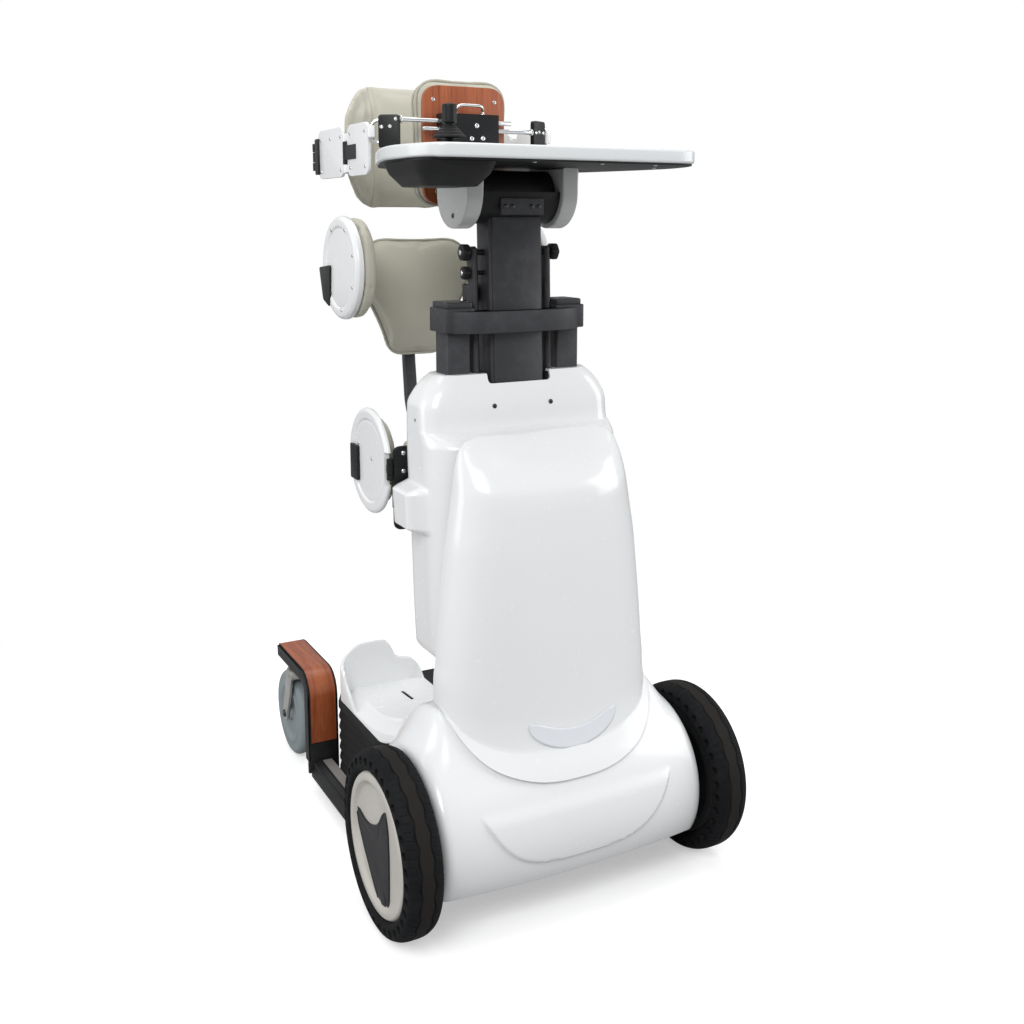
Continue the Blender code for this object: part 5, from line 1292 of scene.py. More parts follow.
def make_joystick_housing():
    """The tray under the table, drawn in from its rim to its floor, and the collar on top."""
    x, y = JOYSTICK[:2]
    rows = []
    for level, draw in (
        (1.1830, 0.0230), (1.1836, 0.0212), (1.1850, 0.0200), (1.1900, 0.0160), (1.1960, 0.0112),
        (1.2020, 0.0065), (1.2100, 0.0035), (1.2185, 0.0006), (1.2194, 0.0002), (1.2197, 0.0008),
    ):
        low, high = vec(-0.254, -0.066) + draw, vec(-0.122, 0.088) - draw
        outline = rectangle(low, high, 0.024, 10)
        rows.append(np.hstack([outline, np.full((len(outline), 1), level)]))
    node = "joystick_housing"
    tray = loose("joystick_tray", closed(np.stack(rows)))
    carved(tray, joystick_well(0.0238, -0.030, 0.016))
    settle(tray, "black_plastic", "table", (node,))
    rim = lathe(
        [(0.0237, 0.0000), (0.0237, 0.0018), (0.0262, 0.0020), (0.0300, 0.0016), (0.0345, 0.0009),
         (0.0362, 0.0002), (0.0362, 0.0001), (0.0240, 0.0001), (0.0237, 0.0)],
        (x, y, TABLE_TOP_Z), (0, 0, 1), 0.0004, 72,
    )
    sleeve = lathe(
        [(0.0238, 1.2452), (0.0262, 1.2458), (0.0296, 1.2450), (0.0297, 1.2110), (0.0238, 1.2110),
         (0.0238, 1.2452)], (x, y, 0.0), (0, 0, 1), 0.0008, 72,
    )
    piece("joystick_collar", together(rim, sleeve), "black_plastic", "table")
    spots = [(x - 0.034, y + 0.030, 1.1836, 0, 0, -1), (x + 0.034, y + 0.052, 1.1836, 0, 0, -1)]
    piece("joystick_tray_screws", screws(spots, 0.0034, 0.0012), "zinc", "table")


def make_joystick():
    """The gimbal ring on its two pins, the stick, and the bellows that covers both."""
    half, inner, outer = 0.0038, 0.0146, 0.0199
    ring = [(inner, half), (outer, half), (outer, -half), (inner, -half), (inner, half)]
    ring = lathe(ring, JOYSTICK, (0, 0, 1), 0.0006, 64)
    pin = np.linspace(0.0165, 0.0231, 4)[:, None] * vec(1, 0, 0)
    pins = [rod(JOYSTICK + side * pin, 0.0021, 16) for side in (-1, 1)]
    node = "joystick_gimbal"
    stand_in(node, "finished", together(ring, *pins), "steel", "stick_pitch")
    stick = [
        (0.0, 0.0680), (0.0085, 0.0678), (0.0102, 0.0668), (0.0110, 0.0650), (0.0110, 0.0420),
        (0.0106, 0.0402), (0.0090, 0.0396), (0.0072, 0.0385), (0.0072, 0.0300), (0.0, 0.0300),
    ]
    stick = lathe(stick, JOYSTICK, (0, 0, 1), 0.0008, 64)
    body, node = "stick_roll", "joystick_stick"
    piece("joystick_grip", stick, "black_plastic", body, (node,))
    t = np.linspace(0, 1, 90)
    swell = 0.0076 + (0.0262 - 0.0076) * t**0.85
    fold = 0.0013 * np.abs(np.sin(np.pi * 4.0 * t)) ** 0.7
    skirt = np.stack([swell - 0.0012 + fold, 0.0372 - (0.0372 - 0.0186) * t], 1)
    skirt[-1] = (0.0262, 0.0184)
    lower = [(0.0240, 0.0182), (0.0060, 0.0182), (0.0060, 0.0085), (0.0100, 0.0040), (0.0115, 0.0),
             (0.0085, -0.0078), (0.0, -0.0098)]
    boot = turned(np.vstack([[(0.0, 0.0374)], skirt, lower]), JOYSTICK, (0, 0, 1), 72)
    piece("joystick_bellows", boot, "bellows", body, (), 60.0)


def hinge_spots(side, points, x, radius=0.0034):
    """Screws on the outer face of something upright beside the user."""
    return screws([(side * x, y, z, side, 0, 0) for y, z in points], radius, 0.0014)


def make_chest():
    """The bracket on the mast with its handle and bolts, and the board behind the pad."""
    dressed("chest_bracket", "plate_black", "mast", 0.0016, 3)
    half = [
        (0.0270, 0.2940, 1.3204), (0.0270, 0.2940, 1.3255), (0.0262, 0.2912, 1.3300),
        (0.0225, 0.2885, 1.3335), (0.0170, 0.2875, 1.3350),
    ]
    handle = rod(bent_path(reflected(half, 0), 0.006, 5), 0.0026, 16, (0, 1, 0))
    foot = [(0.0, 0.0016), (0.0042, 0.0014), (0.0046, 0.0), (0.0, 0.0)]
    feet = [lathe(foot, (x, 0.2940, 1.3202), (0, 0, 1), 0.0004, 24) for x in (-0.027, 0.027)]
    stand_in("chest_handle", "bright", together(handle, *feet), "chrome", "mast")
    node, front = "chest_bracket", 0.2850
    bolts = [(x, front, z, 0, -1, 0) for x, z in ((0.011, 1.300), (0.001, 1.277), (0.023, 1.278))]
    piece("chest_block_bolts", screws(bolts, 0.0046, 0.0022), "chrome", "mast")
    holes = [(x, front, z, 0, -1, 0) for x, z in ((0.040, 1.262), (0.047, 1.262), (0.040, 1.250))]
    piece("chest_block_holes", screws(holes, 0.0016, 0.0004), "black_screw", "mast")
    node, front = "chest_board", 0.3139
    board = slab(rectangle((-0.081, 1.162), (0.081, 1.370), 0.034, 14), front, 0.3225, "y", 0.0010)
    stand_in(node, "veneer", board, "wood", "mast")
    spots = [
        (side * x, front, z, 0, -1, 0)
        for x, z in ((0.061, 1.345), (0.066, 1.262), (0.055, 1.185)) for side in (-1, 1)
    ]
    piece(node + "_screws", screws(spots, 0.0036, 0.0010), "zinc", "mast")


def plate_form(side, start, end):
    """One of the two flat plates of an arm, from start to end along Y."""
    outline = rectangle((start, 1.213), (end, 1.3045), 0.019, 9)
    return mirrored(slab(outline, ARM_X - 0.003, ARM_X + 0.003, "x", 0.0012, 4), side)


def upright(side, x, y, low, high, radius, steps=28):
    """A hinge barrel or pin."""
    profile = [(0.0, high), (radius, high), (radius, low), (0.0, low)]
    return lathe(profile, (side * x, y, 0.0), (0, 0, 1), 0.0007, steps)


def make_arm_rod(name, side):
    """A chrome rod through the chest block, with its bracket and its staple. The bracket is
    turned in by 29 degrees."""
    body, node = "arm_" + name, "side_arm_" + name
    rod_y, rod_z = 0.300, 1.307 if side < 0 else 1.293
    c, s = 0.878, 0.479
    flat = slab(rectangle((0.0, 1.257), (0.0376, 1.3145), 0.0065, 7), -0.0045, 0.0045, "y", 0.0010)
    x, y, z = flat[0].T
    points = np.stack([0.131 + c * x - s * y, 0.298 + s * x + c * y, z], 1)
    bracket = mirrored((points, flat[1]), side)
    stand_in(node, "bracket", bracket, "plate_black", body)
    across = np.linspace(side * 0.140, -side * 0.086, 6)[:, None] * vec(1, 0, 0)
    collar = lathe([(0.0, 0.0040), (0.0066, 0.0036), (0.0070, 0.0), (0.0, 0.0)],
                   (side * 0.1312, rod_y, rod_z), (-side, 0, 0), 0.0006, 28)
    staple = bent_path([
        (0.1600, 0.3165, 1.3050), (0.1680, 0.3205, 1.3045), (ARM_X, FRONT_HINGE_Y, 1.2985),
        (ARM_X, FRONT_HINGE_Y, 1.2735), (0.1680, 0.3205, 1.2675), (0.1600, 0.3165, 1.2670),
    ], 0.0055, 6) * vec(side, 1, 1)
    through = rod(vec(0, rod_y, rod_z) + across, 0.0040, 24)
    staple = rod(staple, 0.0031, 16, (0, 1, 0))
    piece(node + "_rod", together(through, collar, staple), "chrome", body)
    spots = [(0.1612, 0.3093, 1.2935), (0.1484, 0.3023, 1.2945)]
    spots = screws([(side * x, y, z, side * s, -c, 0) for x, y, z in spots], 0.0034, 0.0016)
    piece(node + "_screws", spots, "chrome", body)


def make_arm_plates(name, side):
    """The front plate, with its knuckle in the staple and two lugs at its far end, and the
    rear plate, which turns between the lugs and ends in the hooks of the back rest."""
    body, node = "front_swing_" + name, "front_plate_" + name
    outer, near, far = ARM_X + 0.003, 0.1725, 0.1775
    knuckle = upright(side, ARM_X, FRONT_HINGE_Y, 1.2762, 1.2958, 0.0074)
    levels = ((1.2202, 1.2348), (1.2762, 1.2908))
    lugs = [upright(side, ARM_X, MIDDLE_HINGE_Y, low, high, 0.0069) for low, high in levels]
    tabs = [
        side_block(side, near, far, (0.430, MIDDLE_HINGE_Y), (low + 0.0010, high - 0.0010), 0.0006)
        for low, high in levels
    ]
    eye = side_block(side, 0.1722, 0.1778, (0.324, 0.340), (1.2780, 1.2942), 0.0010)
    form = together(plate_form(side, 0.3325, 0.4380), knuckle, *lugs, *tabs, eye)
    stand_in(node, "finished", form, "white", body)
    dots = [(0.348, 1.289), (0.424, 1.289), (0.348, 1.228), (0.424, 1.228)]
    piece(node + "_screws", hinge_spots(side, dots, outer), "zinc", body)
    body, node = "rear_swing_" + name, "rear_plate_" + name
    tongue = side_block(side, near, far, (MIDDLE_HINGE_Y, 0.475), (1.2362, 1.2748), 0.0008)
    form = together(plate_form(side, 0.4620, 0.6000), tongue)
    stand_in(node, "finished", form, "white", body)
    dots = [(0.474, 1.286), (0.474, 1.226), (0.530, 1.286), (0.585, 1.286), (0.585, 1.226)]
    piece(node + "_screws", hinge_spots(side, dots, outer), "zinc", body)
    forms = [
        side_block(side, 0.1700, 0.1820, (0.592, 0.612), (1.222, 1.290), 0.0016),
        upright(side, ARM_X, MIDDLE_HINGE_Y, 1.2190, 1.2920, 0.0030, 20),
        upright(side, ARM_X, MIDDLE_HINGE_Y, 1.2354, 1.2756, 0.0069),
    ]
    for low, high, start, end in (
        (1.2315, 1.2456, 1.2302, 1.2456), (1.2664, 1.2805, 1.2664, 1.2818),
    ):
        forms.append(side_block(side, 0.1737, 0.1776, (0.606, REAR_HINGE_Y), (low, high), 0.0006))
        forms.append(upright(side, ARM_X, REAR_HINGE_Y, start, end, 0.0073))
    piece(node + "_hinges", together(*forms), "plate_black", body)


def make_strap(name, side):
    """The belt towards the middle hinge. It rides with the front plate alone."""
    y = np.linspace(0.392, 0.446, 30)
    path = np.stack([side * (0.1788 + 0 * y), y, 1.2560 + 0 * y], 1)
    band = ribbon(path, (0, 0, 1), 0.026, 0.0014)
    obj = piece("belt_" + name, band, "belt", "front_swing_" + name)
    mesh = obj.data
    corner = np.empty(len(mesh.loops), int)
    mesh.loops.foreach_get("vertex_index", corner)
    layer = mesh.uv_layers.new(name="belt")
    layer.data.foreach_set("uv", coordinates(mesh)[corner, 1:].ravel())


def make_back_bar():
    """The bent bar behind the back pad, hinged on the left arm."""
    path = bent_path([
        (-ARM_X, REAR_HINGE_Y), (-0.150, 0.640), (-0.100, 0.654), (0.100, 0.654), (0.150, 0.640),
        (0.1665, 0.626),
    ], 0.03, 8)
    outer, inner = path + vec(0, 0.003), (path - vec(0, 0.003))[::-1]
    bar = slab(np.vstack([outer, inner]), 1.2466, 1.2654, "z", 0.0008)
    barrel = upright(-1, ARM_X, REAR_HINGE_Y, 1.2466, 1.2654, 0.0069)
    pin = upright(-1, ARM_X, REAR_HINGE_Y, 1.2310, 1.2810, 0.0030, 20)
    plate = block((-0.070, 0.6363, 1.200), (0.070, 0.6513, 1.330), 0.0016, "y", 0.008)
    body, node = "back_gate", "back_bar"
    form = together(bar, barrel, pin, plate)
    stand_in(node, "finished", form, "plate_black", body)
    spots = [(x, 0.6513, z, 0, 1, 0) for x in (-0.050, 0.050) for z in (1.220, 1.310)]
    piece(node + "_screws", screws(spots), "zinc", body)


# Pelvis, hips and knees


def make_pelvis():
    """The swing arm: one bent outline in the middle plane, a crossbar and a face plate."""
    line = [
        (0.228, 0.647), (0.240, 0.6415), (0.480, 0.650), (0.545, 0.690), (0.585, 0.760),
        (0.596, 0.860), (0.596, 1.062), (0.580, 1.062), (0.580, 0.862), (0.568, 0.770),
        (0.533, 0.708), (0.474, 0.675), (0.240, 0.6785), (0.228, 0.673),
    ]
    arm = slab(curved(line, 0.020, 8), -0.012, 0.012, "x", 0.0020, 4)
    crossbar = block((-0.138, 0.5815, 1.035), (0.138, 0.5955, 1.060), 0.0018, "x", 0.004)
    face = block((-0.050, 0.5680, 0.900), (0.050, 0.5830, 1.030), 0.0018, "y", 0.010)
    hinge_y, hinge_z = 0.236, 0.660
    profile = [(0.0, 0.013), (0.021, 0.013), (0.021, -0.013), (0.0, -0.013)]
    barrel = lathe(profile, (0, hinge_y, hinge_z), (1, 0, 0), 0.0016, 48)
    node = "pelvic_frame"
    form = together(arm, crossbar, face, barrel)
    stand_in(node, "finished", form, "steel", "pelvis")
    spots = [(side * 0.0131, hinge_y, hinge_z, side, 0, 0) for side in (-1, 1)]
    piece("pelvic_hinge_screws", screws(spots, 0.0035, 0.0002, 0.0001), "zinc", "pelvis")


def dish(thickness, centre, side):
    """A moulded support disc: a rolled rim, a groove and a flat middle."""
    radius = 0.095
    profile = [
        (0.0, thickness - 0.0022), (radius - 0.0250, thickness - 0.0022),
        (radius - 0.0225, thickness - 0.0034), (radius - 0.0205, thickness - 0.0022),
        (radius - 0.0185, thickness), (radius - 0.0055, thickness), (radius, thickness * 0.62),
        (radius, 0.0012), (radius - 0.002, 0.0), (0.0, 0.0),
    ]
    return lathe(profile, centre, (side, 0, 0), 0.0022, 120)


def make_hip(name, side):
    """A hip disc, the bar that bends in behind it to its sleeve, and the gusset outside."""
    x, y, z = HIP_DISC
    body, node = "hip_" + name, "hip_shell_" + name
    disc = dish(0.0160, (side * (x - 0.016), y, z), side)
    stand_in(node, "disc", disc, "white", body)
    outline = [
        (0.1925, 0.516), (0.2000, 0.518), (0.1900, 0.552), (0.1660, 0.6110), (0.1570, 0.6075),
        (0.1830, 0.546),
    ]
    bar = mirrored(slab(outline, 1.0385, 1.0565, "z", 0.0010), side)
    sleeve = side_block(side, 0.060, 0.1640, (0.5960, 0.6130), (1.0395, 1.0555), 0.0014)
    piece(node + "_bars", together(bar, sleeve), "plate_black", body)
    a = np.radians([62, 118, 162, 205, 262, 318])
    dots = [(y + 0.078 * c, z + 0.078 * s) for c, s in zip(np.cos(a), np.sin(a))]
    piece(node + "_screws", hinge_spots(side, dots, x - 0.0002, 0.0036), "zinc", body)
    outline = vec(y, z) + [(0.044, 0.004), (0.106, -0.002), (0.087, -0.063), (0.052, -0.075)]
    plate = slab(curved(outline, 0.006, 5), 0.1984, 0.2020, "x", 0.0008)
    piece(node + "_gusset", mirrored(plate, side), "plate_black", body)


def make_knee(name, side):
    """The knee plate on its bar and inner wing, then the disc that swings on its hinge."""
    x, y, z = KNEE_DISC
    hinge_x, hinge_y = 0.1945, 0.214
    body, node = "knee_" + name, "knee_cup_" + name
    forms = [
        side_block(side, 0.064, 0.1880, (0.2120, 0.2190), (0.600, 0.748), 0.0014, "y", 0.014),
        side_block(side, 0.1765, 0.1915, (0.130, 0.2150), (0.6405, 0.6715), 0.0016),
        side_block(side, 0.065, 0.071, (0.2150, 0.270), (0.615, 0.755), 0.0014, "x", 0.014),
    ]
    for low, high in ((0.6902, 0.6998), (0.7182, 0.7278)):
        forms.append(upright(side, hinge_x, hinge_y, low, high, 0.0059))
        tab = (low + 0.0005, high - 0.0005)
        forms.append(side_block(side, 0.1850, hinge_x, (0.2125, 0.2175), tab, 0.0005))
    stand_in(node, "finished", together(*forms), "plate_black", body)
    spots = [(side * 0.1700, 0.2120, height, 0, -1, 0) for height in (0.736, 0.704)]
    piece(node + "_bolts", screws(spots, 0.0046, 0.0024), "chrome", body)
    body, node = "knee_disc_" + name, "knee_shell_" + name
    disc = loose(node + "_disc", dish(0.0100, (side * (x - 0.008), y, z), side))
    carved(disc, side_block(side, 0.170, 0.215, (0.190, 0.2220), (0.680, 0.738), 0.0020))
    settle(disc, "white", body, (node,))
    hinge = together(
        upright(side, hinge_x, hinge_y, 0.7004, 0.7176, 0.0059),
        upright(side, hinge_x, hinge_y, 0.6905, 0.7275, 0.0029, 20),
        side_block(side, 0.1925, 0.1985, (0.214, 0.2400), (0.7012, 0.7168), 0.0008),
        side_block(side, 0.1998, 0.2055, (0.347, 0.383), (0.664, 0.729), 0.0012, "x", 0.004),
    )
    piece(node + "_hinge", hinge, "plate_black", body)
    dots = [(0.311, 0.7862), (0.352, 0.733), (0.287, 0.715), (0.359, 0.652), (0.325, 0.629)]
    piece(node + "_screws", hinge_spots(side, dots, x - 0.0002, 0.0036), "zinc", body)


# Padding


def pad_form(half_u, half_v, corner, thickness, crown, place, taper=None):
    """A stuffed form between a flat back and a crowned face. Rings of a rounded rectangle run
    from the middle of the back out over the rim and in again to the middle of the face:
    height = rim + (thickness - rim + crown) (1 - |s|^2.4), s being the ring's share."""
    outline = rectangle((-half_u, -half_v), (half_u, half_v), corner, 14)
    outline = evenly(outline, 150, closed=True)
    rim = thickness * 0.62
    back = np.linspace(0.02, 0.96, 14)
    front = np.linspace(0.985, 0.02, 24)
    share = np.concatenate([back, [0.985, 0.997, 1.0, 1.0, 0.996], front])
    level = np.concatenate([
        np.zeros(len(back)), [rim * 0.08, rim * 0.28, rim * 0.5, rim * 0.75, rim * 0.95],
        rim + (thickness - rim + crown) * (1 - front**2.4),
    ])
    u, v = outline[None, :, 0] * share[:, None], outline[None, :, 1] * share[:, None]
    if taper:
        v = v * taper(u)
    return closed(place(u, v, level[:, None] + 0 * u))


def stuffed(name, form, cap, hold, seams=None, voxel=0.005):
    """Blows a closed form up as cloth, no point further than cap. seams(points) then draws
    its channels in, and hold(points) keeps it off what it rests on."""
    obj = loose(name, form)
    remesh = obj.modifiers.new("remesh", "REMESH")
    remesh.mode = "VOXEL"
    remesh.voxel_size = voxel
    bake(obj)
    rest = coordinates(obj.data)
    scene = bpy.context.scene
    cloth = obj.modifiers.new("cloth", "CLOTH")
    cloth.settings.quality = 4
    cloth.settings.use_pressure = True
    cloth.settings.uniform_pressure_force = 4.0
    cloth.settings.effector_weights.gravity = 0.0
    cloth.point_cache.frame_start = 1
    cloth.point_cache.frame_end = CLOTH_FRAMES
    for number in range(1, CLOTH_FRAMES + 1):
        scene.frame_set(number)
    bake(obj)
    scene.frame_set(1)
    change = coordinates(obj.data) - rest
    far = np.linalg.norm(change, axis=1, keepdims=True)
    now = rest + change * np.minimum(1.0, cap / np.maximum(far, 1e-9))
    obj.data.vertices.foreach_set("co", now.ravel())
    smoother = obj.modifiers.new("smoother", "SUBSURF")
    smoother.levels = smoother.render_levels = 2
    bake(obj)
    points = coordinates(obj.data) - SHIFT
    if seams:
        points = points + seams(points)
    obj.data.vertices.foreach_set("co", (hold(points) + SHIFT).ravel())
    obj.data.update()
    obj.data.shade_smooth()
    return obj


def padded(obj, node, body):
    settle(obj, "soft", body, (node,))


def stopped(axis, limit, side=1):
    """A rule that holds side * points[axis] at or below a limit."""
    def hold(points):
        points = points.copy()
        points[:, axis] = side * np.minimum(side * points[:, axis], limit)
        return points

    return hold


def along(axis, amount):
    """Moves by an amount along one axis."""
    return amount[:, None] * np.eye(3)[axis]


def dent(distance, width, depth):
    """A sewn channel: depth * exp(-(distance / width)^2)."""
    return depth * np.exp(-((distance / width) ** 2))


def corded(name, obj, centre, level, radius, body):
    """A corded seam round a pad that faces along Y. At its level the pad's outline is the
    largest distance from the centre in each of 180 sectors, smoothed over its neighbours."""
    points = coordinates(obj.data) - SHIFT
    points = points[np.abs(points[:, 1] - level) < 0.0035]
    u, v = points[:, 0] - centre[0], points[:, 2] - centre[1]
    count = 180
    sector = ((np.arctan2(v, u) / (2 * np.pi) + 0.5) * count).astype(int) % count
    far = np.zeros(count)
    np.maximum.at(far, sector, np.hypot(u, v))
    for _ in range(3):
        far = (np.roll(far, 1) + 2 * far + np.roll(far, -1)) / 4
    a = ((np.arange(count) + 0.5) / count - 0.5) * 2 * np.pi
    far = far + radius * 0.15
    path = [centre[0] + far * np.cos(a), np.full(count, level), centre[1] + far * np.sin(a)]
    path = np.stack(path, 1)
    cord = rod(np.vstack([path, path[:1]]), radius, 10, (0, 1, 0), False)
    piece(name, cord, "piping", body, (), 80.0)


def make_chest_pad():
    back, middle = 0.3228, 1.270

    def seams(p):
        face = step((p[:, 1] - back - 0.014) / 0.014)
        inside = step((0.118 - np.abs(p[:, 2] - middle)) / 0.02)
        return along(1, -dent(np.abs(p[:, 0]) - 0.048, 0.0032, 0.0060) * face * inside)

    def place(u, v, w):
        return np.stack([u, back + w, middle + v], -1)

    form = pad_form(0.0905, 0.1135, 0.045, 0.034, 0.010, place)
    obj = stuffed("chest_pad_cushion", form, 0.006, stopped(1, -back, -1), seams)
    padded(obj, "chest_pad", "mast")
    node = "chest_pad"
    for kind, depth, radius in (("piping", 0.0075, 0.0026), ("seam", 0.0240, 0.0020)):
        corded(f"{node}_{kind}", obj, (0.0, middle), back + depth, radius, "mast")


def back_line(u):
    """The back pad's rear face, seen from above."""
    return 0.632 - 0.105 * step((np.abs(u) - 0.050) / 0.112)


def make_back_pad():
    """The back pad wraps forward at its wings, which also taper to half height."""
    narrow = 0.985

    def place(u, v, w):
        squeeze = 1.0 - 0.22 * step((np.abs(u) - 0.110) / 0.042)
        return np.stack([u * narrow, back_line(u) - w * squeeze, 1.278 + v], -1)

    def taper(u):
        return 1.0 - 0.50 * np.clip((np.abs(u) - 0.062) / 0.090, 0, 1) ** 2.0

    def seams(p):
        inner = step((back_line(p[:, 0] / narrow) - p[:, 1] - 0.012) / 0.012)
        return along(1, dent(np.abs(p[:, 0]) - 0.072, 0.0030, 0.0045) * inner)

    form = pad_form(0.1500, 0.1225, 0.050, 0.033, 0.009, place, taper)
    obj = stuffed("back_pad_cushion", form, 0.005, stopped(1, 0.6358), seams, 0.0065)
    padded(obj, "back_pad", "back_gate")


def make_pelvic_pad():
    """The pelvic pad narrows downwards to little more than half its width."""
    def place(u, v, w):
        narrow = 1.0 - 0.42 * step((0.050 - v) / 0.150)
        return np.stack([u * narrow, 0.5676 - w, 0.982 + v], -1)

    form = pad_form(0.122, 0.1185, 0.062, 0.036, 0.009, place)
    obj = stuffed("pelvic_pad_cushion", form, 0.006, stopped(1, 0.5678), voxel=0.0055)
    padded(obj, "pelvic_pad", "pelvis")
    corded("pelvic_pad_piping", obj, (0.0, 0.985), 0.5460, 0.0024, "pelvis")


def round_pad(side, centre, radius, thickness, crown):
    """A round pad on a disc's inner face: rings from its back over a full rim to its crown."""
    x, y, z = centre

    def place(u, v, w):
        return np.stack([side * (x - w), y + u, z + v], -1)

    return pad_form(radius, radius, radius * 0.97, thickness, crown, place)


def make_hip_pad(name, side):
    """The hip pad, with one seam round it."""
    x, y, z = HIP_DISC
    seat = x - 0.0164

    def seams(p):
        inner = step((seat - p[:, 0] * side - 0.010) / 0.010)
        r = np.hypot(p[:, 1] - y, p[:, 2] - z)
        return along(0, side * dent(r - 0.060, 0.0030, 0.0030) * inner)

    form = round_pad(side, (seat, y, z), 0.0925, 0.0285, 0.008)
    obj = stuffed("hip_pad_cushion_" + name, form, 0.005, stopped(0, seat, side), seams)
    padded(obj, "hip_pad_" + name, "hip_" + name)


def cross_seams(u, v, face):
    """Two sewn channels that cross at the middle."""
    return (dent(u, 0.0028, 0.0030) + dent(v, 0.0028, 0.0030)) * face


def make_knee_pads(name, side):
    """The pad on the knee disc and the one on the plate in front of the knee."""
    x, y, z = KNEE_DISC
    seat, front, middle_x = x - 0.0084, 0.2194, side * 0.1215

    def side_seams(p):
        inner = step((seat - p[:, 0] * side - 0.008) / 0.008)
        return along(0, side * cross_seams(p[:, 1] - y - 0.008, p[:, 2] - z, inner))

    form = round_pad(side, (seat, y + 0.0085, z), 0.0790, 0.0215, 0.006)
    obj = stuffed("knee_side_cushion_" + name, form, 0.004, stopped(0, seat, side), side_seams)
    padded(obj, "knee_side_pad_" + name, "knee_disc_" + name)

    def place(u, v, w):
        return np.stack([middle_x + u, front + w, 0.685 + v], -1)

    def front_seams(p):
        face = step((p[:, 1] - front - 0.008) / 0.008)
        return along(1, -cross_seams(p[:, 0] - middle_x, p[:, 2] - 0.690, face))

    form = pad_form(0.0435, 0.0725, 0.020, 0.0205, 0.0045, place)
    hold = stopped(1, -front, -1)
    obj = stuffed("knee_front_cushion_" + name, form, 0.004, hold, front_seams, 0.004)
    padded(obj, "knee_front_pad_" + name, "knee_" + name)


# Everything in its place


make_base_cover()
make_front_hood()
make_hood_strip()
make_upper_covers()
make_floor()
make_platform()
make_guide()
make_mast()
make_table()
make_joystick_housing()
make_joystick()
make_chest()
make_back_bar()
make_pelvis()
for side_name, side_sign in SIDES:
    make_drive_wheel(side_name, side_sign)
    make_castor(side_name, side_sign)
    make_foot_shell(side_name, side_sign)
    make_arm_rod(side_name, side_sign)
    make_arm_plates(side_name, side_sign)
    make_strap(side_name, side_sign)
    make_hip(side_name, side_sign)
    make_knee(side_name, side_sign)
    make_hip_pad(side_name, side_sign)
    make_knee_pads(side_name, side_sign)
make_chest_pad()
make_back_pad()
make_pelvic_pad()


# Floor, light and camera


def make_stage():
    """A wide pale floor. Camera rays see a little of its own light, so it reads as white."""
    mesh = bpy.data.meshes.new("studio_floor")
    grid = np.linspace(-14.0, 14.0, 15)
    gx, gy = np.meshgrid(grid, grid, indexing="ij")
    points, faces = surface(np.stack([gx, gy, 0 * gx - 0.0004], -1))
    mesh.from_pydata(points.tolist(), [], faces)
    floor = bpy.data.objects.new("studio_floor", mesh)
    bpy.context.scene.collection.objects.link(floor)
    sheet = Sheet("studio_floor")
    here = sheet.place()
    x, y = sheet.axis(here, "X"), sheet.axis(here, "Y")
    far = ((x * x + y * y) ** 0.5).between(0.55, 1.55)
    speck = sheet.noise(40.0, 3.0)
    tint = sheet.blend(speck, (0.79, 0.79, 0.79), (0.81, 0.81, 0.81))
    matte = sheet.node("ShaderNodeBsdfDiffuse", None, {"Color": tint})
    dull = sheet.node("ShaderNodeBsdfDiffuse", None, {"Color": (0.42, 0.42, 0.425, 1.0)})
    lit = sheet.node("ShaderNodeEmission", None, {"Color": (1.0, 1.0, 1.0, 1.0), "Strength": 0.40})
    white = sheet.node("ShaderNodeEmission", None, {"Color": (1.0, 1.0, 1.0, 1.0), "Strength": 1.0})
    seen = sheet.node("ShaderNodeLightPath", output="Is Camera Ray")
    near = sheet.node("ShaderNodeAddShader", None, {0: matte, 1: lit})
    faded = sheet.node("ShaderNodeMixShader", None, {0: far, 1: near, 2: white})
    mixed = sheet.node("ShaderNodeMixShader", None, {0: seen, 1: dull, 2: faded})
    sheet.node("ShaderNodeOutputMaterial", None, {"Surface": mixed})
    mesh.materials.append(sheet.block)


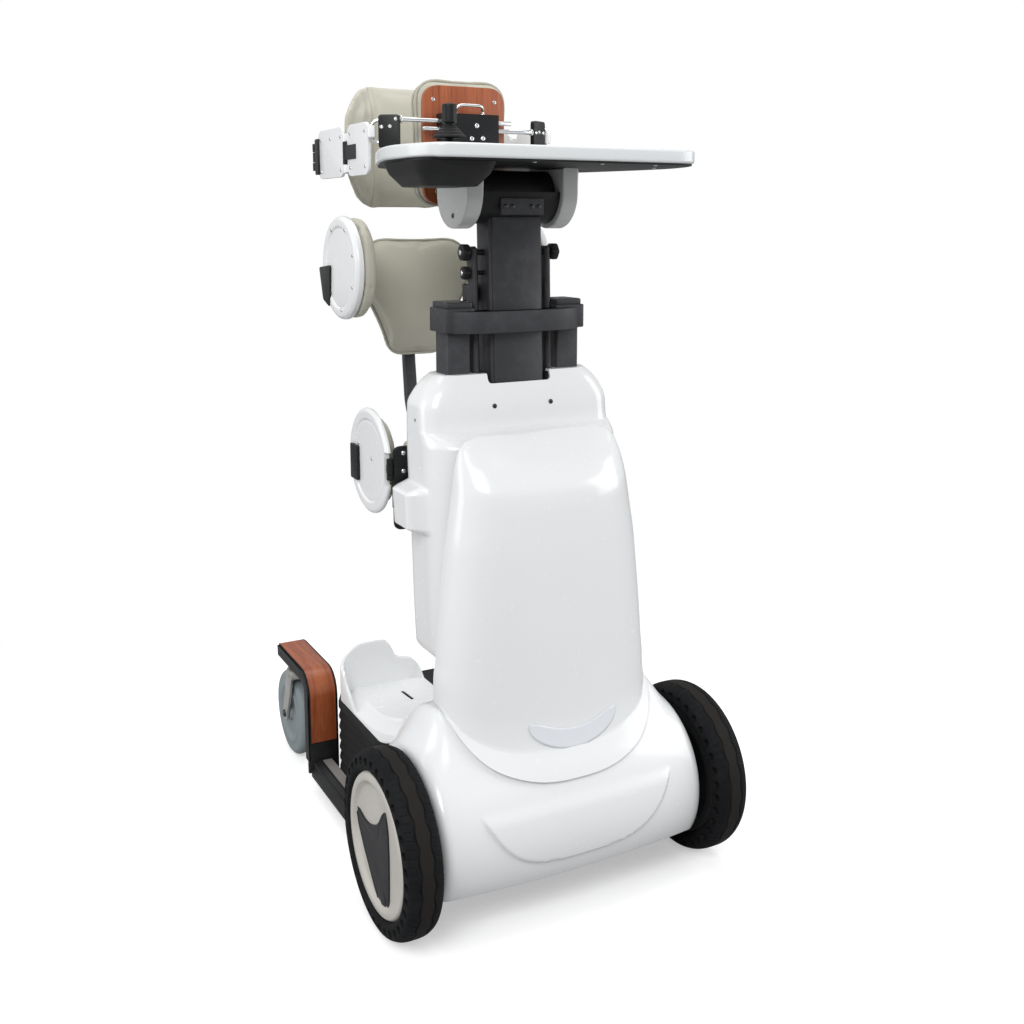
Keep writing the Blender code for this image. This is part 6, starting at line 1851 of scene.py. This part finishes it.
def make_world():
    """A soft even light on the part, and plain white where the camera looks past it."""
    sheet = Sheet("studio", bpy.data.worlds)
    bpy.context.scene.world = sheet.block
    rays = [
        sheet.node("ShaderNodeLightPath", output=kind)
        for kind in ("Is Camera Ray", "Is Transmission Ray")
    ]
    either = sheet.node("ShaderNodeMath", {"operation": "MAXIMUM"}, rays)
    soft, white = (
        sheet.node("ShaderNodeBackground", None, {"Color": colour, "Strength": strength})
        for colour, strength in (((0.98, 0.99, 1.0, 1.0), 0.56), ((1.0, 1.0, 1.0, 1.0), 1.0))
    )
    mixed = sheet.node("ShaderNodeMixShader", None, (either, soft, white))
    sheet.node("ShaderNodeOutputWorld", None, {"Surface": mixed})


def lamp(name, place, target, size, watts, colour=(1.0, 1.0, 1.0)):
    data = bpy.data.lights.new(name, "AREA")
    data.shape = "RECTANGLE"
    data.size, data.size_y = size
    data.energy = watts
    data.color = colour
    obj = bpy.data.objects.new(name, data)
    obj.location = place
    aim = Vector(target) - Vector(place)
    obj.rotation_euler = aim.to_track_quat("-Z", "Y").to_euler()
    bpy.context.scene.collection.objects.link(obj)


make_stage()
make_world()
lamp("key", (-2.0, -2.4, 2.9), (0.0, 0.0, 0.7), (1.6, 1.6), 68.0)
lamp("fill", (2.8, -1.6, 1.6), (0.0, 0.0, 0.6), (1.8, 2.0), 40.0, (0.99, 0.99, 1.0))
lamp("side", (-3.0, 0.8, 1.5), (0.0, 0.1, 0.7), (1.4, 2.2), 24.0)
lamp("top", (0.2, 0.4, 3.4), (0.0, 0.1, 0.6), (2.4, 2.4), 38.0)

camera_data = bpy.data.cameras.new("camera")
camera_data.lens = 40.29
camera_data.sensor_width = 36.0
camera_data.shift_y = -0.10
camera_data.clip_start = 0.01
camera = bpy.data.objects.new("camera", camera_data)
camera.location = (-0.917, -1.9085, 1.131)
camera.rotation_euler = (math.radians(80.7), 0.0, math.radians(-27.98))
bpy.context.scene.collection.objects.link(camera)

scene = bpy.context.scene
scene.camera = camera
scene.render.resolution_x = 1024
scene.render.resolution_y = 1024
scene.view_settings.view_transform = "Standard"
scene.view_settings.look = "None"
scene.view_settings.exposure = 0.0
